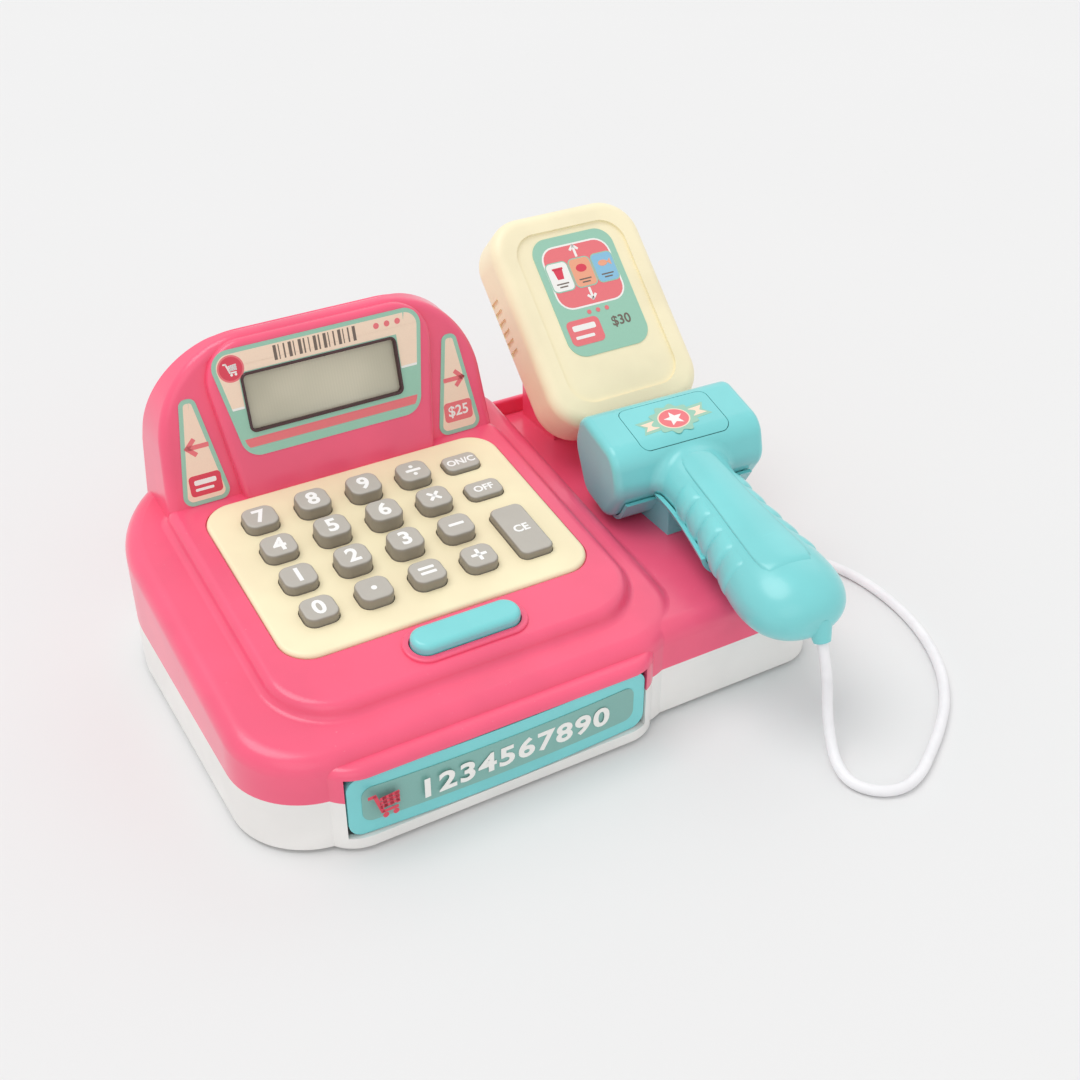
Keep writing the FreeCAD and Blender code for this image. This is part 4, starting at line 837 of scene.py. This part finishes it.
def scannerAxes():
    turn, roll, drop = (math.radians(grip[key]) for key in ("turn", "roll", "drop"))
    return np.array(Matrix.Rotation(turn, 3, "Z") @ Matrix.Rotation(roll, 3, "Y")
                    @ Matrix.Rotation(drop, 3, "X"))


def gripPoint(distance, angle, rise):
    # S(d, a) = (w(d)/2 cos a, -d, z(d) + h(d)/2 sin a) + rise outwards, in mm, then the scanner's own pose
    table = np.array(grip["sections"], float)
    across, high, lift = (np.interp(distance, table[:, 0], table[:, i]) for i in (1, 2, 3))
    local = np.stack([(across / 2 + rise) * np.cos(angle), -distance,
                      lift + (high / 2 + rise) * np.sin(angle)], axis=-1) / 1000
    return local @ scannerAxes().T + np.array(grip["centre"])


def closedPatch(name, top, bottom):
    # two grids of the same size, joined round their border into one closed skin
    rows, columns = top.shape[:2]
    upper = gridFaces(rows, columns, around=False)
    lower = upper[:, ::-1] + rows * columns
    index = np.arange(rows * columns).reshape(rows, columns)
    border = np.concatenate([index[0, :-1], index[:-1, -1], index[-1, :0:-1], index[:0:-1, 0]])
    after = np.roll(border, -1)
    wall = np.stack([after, border, border + rows * columns, after + rows * columns], axis=1)
    points = np.concatenate([top.reshape(-1, 3), bottom.reshape(-1, 3)])
    return meshPiece(name, points, np.concatenate([upper, lower, wall]))


def gripPatch(name, distances, arc, rise):
    # rise(s, t) is given on a grid, s along the grip and t round it, both from -1 to 1
    s, t = np.meshgrid(*(np.linspace(-1, 1, count) for count in grip["grid"]), indexing="ij")
    distance = distances[0] + (distances[1] - distances[0]) * (s + 1) / 2
    angle = np.radians(arc[0] + (arc[1] - arc[0]) * (t + 1) / 2)
    top = gripPoint(distance, angle, rise(s, t))
    bottom = gripPoint(distance, angle, np.full(s.shape, grip["skin"]))
    piece = closedPatch(name, top[::-1], bottom[::-1])
    return finishPiece(piece, "scanner", finishes["tealPlastic"])


def ridgeRise(s, t):
    # a scallop: steep on the far side of its peak, fading towards the near end and both ends of the arc,
    # rise = r ((1 - ((s - p) / reach)^2)^0.8 (1 - t^4) (1 + sink) - sink)
    peak, sink = grip["ridgePeak"], grip["ridgeSink"]
    along = np.clip(1 - ((s - peak) / np.where(s > peak, 1 - peak, 1 + peak)) ** 2, 0, 1) ** 0.8
    return grip["ridgeRise"] * (along * np.clip(1 - t ** 4, 0, 1) * (1 + sink) - sink)


def flatRise(s, t):
    # one level inside the rounded outline s^8 + t^6 = 1, falling under the skin close to it
    edge = np.clip((1 - s ** 8 - t ** 6) * 5, 0, 1)
    return grip["flatRise"] * (edge * (1 + grip["flatSink"]) - grip["flatSink"])


def makeGripDetails():
    low, high = grip["ridgeArc"]
    for i, middle in enumerate(grip["ridges"]):
        ends = (middle - grip["ridgeHalf"], middle + grip["ridgeHalf"])
        gripPatch("gripRidgeLeft_%d" % i, ends, (low, high), ridgeRise)
        gripPatch("gripRidgeRight_%d" % i, ends, (180 - high, 180 - low), ridgeRise)
    gripPatch("gripFlat", grip["flat"], grip["flatArc"], flatRise)
    print("grip details made")


# the badge: ribbon = half length, half width, notch; ribbonEdge and ribbonFill scale the ribbon,
# line and face scale the disc's radius to an oval's width and height
badge = {
    "ribbon": (0.0150, 0.0030, 0.0022), "ribbonEdge": (1.07, 1.3), "ribbonFill": (0.96, 0.8),
    "ring": 0.0086, "ringWide": 1.1, "lobes": 10, "lobe": 0.0009, "ringPoints": 96,
    "disc": 0.0062, "line": (2.2, 2.0), "face": (2.02, 1.82), "star": (0, -0.0002, 0.0044, 0.0019),
}


def star(x, y, outer, inner):
    # ten corners at even angles from the top, on the outer and the inner radius by turns
    angle = np.arange(10) * math.pi / 5 + math.pi / 2
    radius = np.where(np.arange(10) % 2 == 0, outer, inner)
    return np.stack([x + radius * np.cos(angle), y + radius * np.sin(angle)], axis=1)


def faceNormal(name, hint):
    # mean normal, by area, of the faces within about 8 degrees of the hint
    mesh = nodes[name].data
    normals, areas = np.zeros(len(mesh.polygons) * 3), np.zeros(len(mesh.polygons))
    mesh.polygons.foreach_get("normal", normals)
    mesh.polygons.foreach_get("area", areas)
    normals = normals.reshape(-1, 3)
    near = (normals @ hint > 0.99)[:, None] * normals * areas[:, None]
    return near.sum(axis=0) / np.linalg.norm(near.sum(axis=0))


def makeBadge():
    # the ring's radius is R + l cos(n a), stretched across; the ribbon is a bar with a notch at each end
    face = faceFrame("scan_button", faceNormal("scan_button", scannerAxes()[:, 2]))
    angle = np.linspace(0, 2 * math.pi, badge["ringPoints"], endpoint=False)
    scallop = badge["ring"] + badge["lobe"] * np.cos(angle * badge["lobes"])
    ring = np.stack([scallop * badge["ringWide"] * np.cos(angle), scallop * np.sin(angle)], axis=1)
    tail, half, notch = badge["ribbon"]
    ribbon = np.array([(-tail, half), (-tail + notch, 0), (-tail, -half), (tail, -half), (tail - notch, 0),
                       (tail, half)])
    line, middle = ([badge["disc"] * factor for factor in badge[key]] for key in ("line", "face"))
    layers = {"badgeRibbonEdge": (ribbon * badge["ribbonEdge"], "mintFilm"),
              "badgeRibbon": (ribbon * badge["ribbonFill"], "peachFilm"),
              "badgeRing": (ring, "mintFilm"), "badgeLine": (oval(0, 0, *line), "peachFilm"),
              "badgeDisc": (oval(0, 0, *middle), "coralFilm"),
              "badgeStar": (star(*badge["star"]), "whiteFilm")}
    for level, (name, (outline, finish)) in enumerate(layers.items()):
        printOn(name, [outline], face, level, "scan_button", finish)
    print("badge made")


makeGripDetails()
makeBadge()


# a shallow panel across the top of the hood's back, over the display's space
rearPanel = {"out": (0, 0.974876, 0.222748), "foot": -0.08312, "sunk": 0.00425, "border": 0.002,
             "thick": 0.0008}


def makeRearPanel():
    # the cover's outline, inset and cut at its foot, as one prism
    face = faceFrame("rear_cover", rearPanel["out"])
    outline = inset(outlineOf("rear_cover", face), rearPanel["border"])
    outline = clipped(outline, (0, 1), rearPanel["foot"] - face["middle"] @ face["axes"][1])
    face["middle"] = face["middle"] - rearPanel["sunk"] * face["axes"][2]
    printOn("rearPanel", [outline], face, 0, "root", "pinkShell", rearPanel["thick"])
    print("rear panel made")


makeRearPanel()


# the floor lies just under the feet, so that it never touches them
stage = {"size": 60.0, "level": -0.0001, "floor": tone(232, 232, 232), "world": 0.76}


def makeStage():
    half, level = stage["size"] / 2, stage["level"]
    floor = meshPiece("floor", [(-half, -half, level), (half, -half, level), (half, half, level),
                                (-half, half, level)], [(0, 1, 2, 3)])
    finish = Finish("paperFloor")
    cloud = finish.noise(3, 3)
    finish.set(Base_Color=finish.mix(shade(stage["floor"], 0.99), shade(stage["floor"], 1.01), cloud),
               Roughness=0.8 + cloud * 0.1)
    floor.data.materials.append(finish.material)
    world = bpy.data.worlds.new("studio")
    scene.world = world
    world.use_nodes = True
    world.node_tree.nodes["Background"].inputs[0].default_value = (1, 1, 1, 1)
    world.node_tree.nodes["Background"].inputs[1].default_value = stage["world"]


# wide far lamps, so the floor is evenly lit: direction they come from, spread in degrees, strength
lamps = {"overhead": ((-0.3, 0.2, 1.0), 38, 0.92), "frontLeft": ((-0.7, -1.0, 0.9), 45, 0.2),
         "backRight": ((0.9, 0.8, 0.8), 40, 0.14)}


def makeLights():
    for name, (source, spread, strength) in lamps.items():
        data = bpy.data.lights.new(name, "SUN")
        data.angle = math.radians(spread)
        data.energy = strength
        lamp = bpy.data.objects.new(name, data)
        scene.collection.objects.link(lamp)
        lamp.matrix_world = Vector(source).to_track_quat("Z", "Y").to_matrix().to_4x4()


makeStage()
makeLights()
scene.view_settings.view_transform = "Standard"
print("stage and lights made")
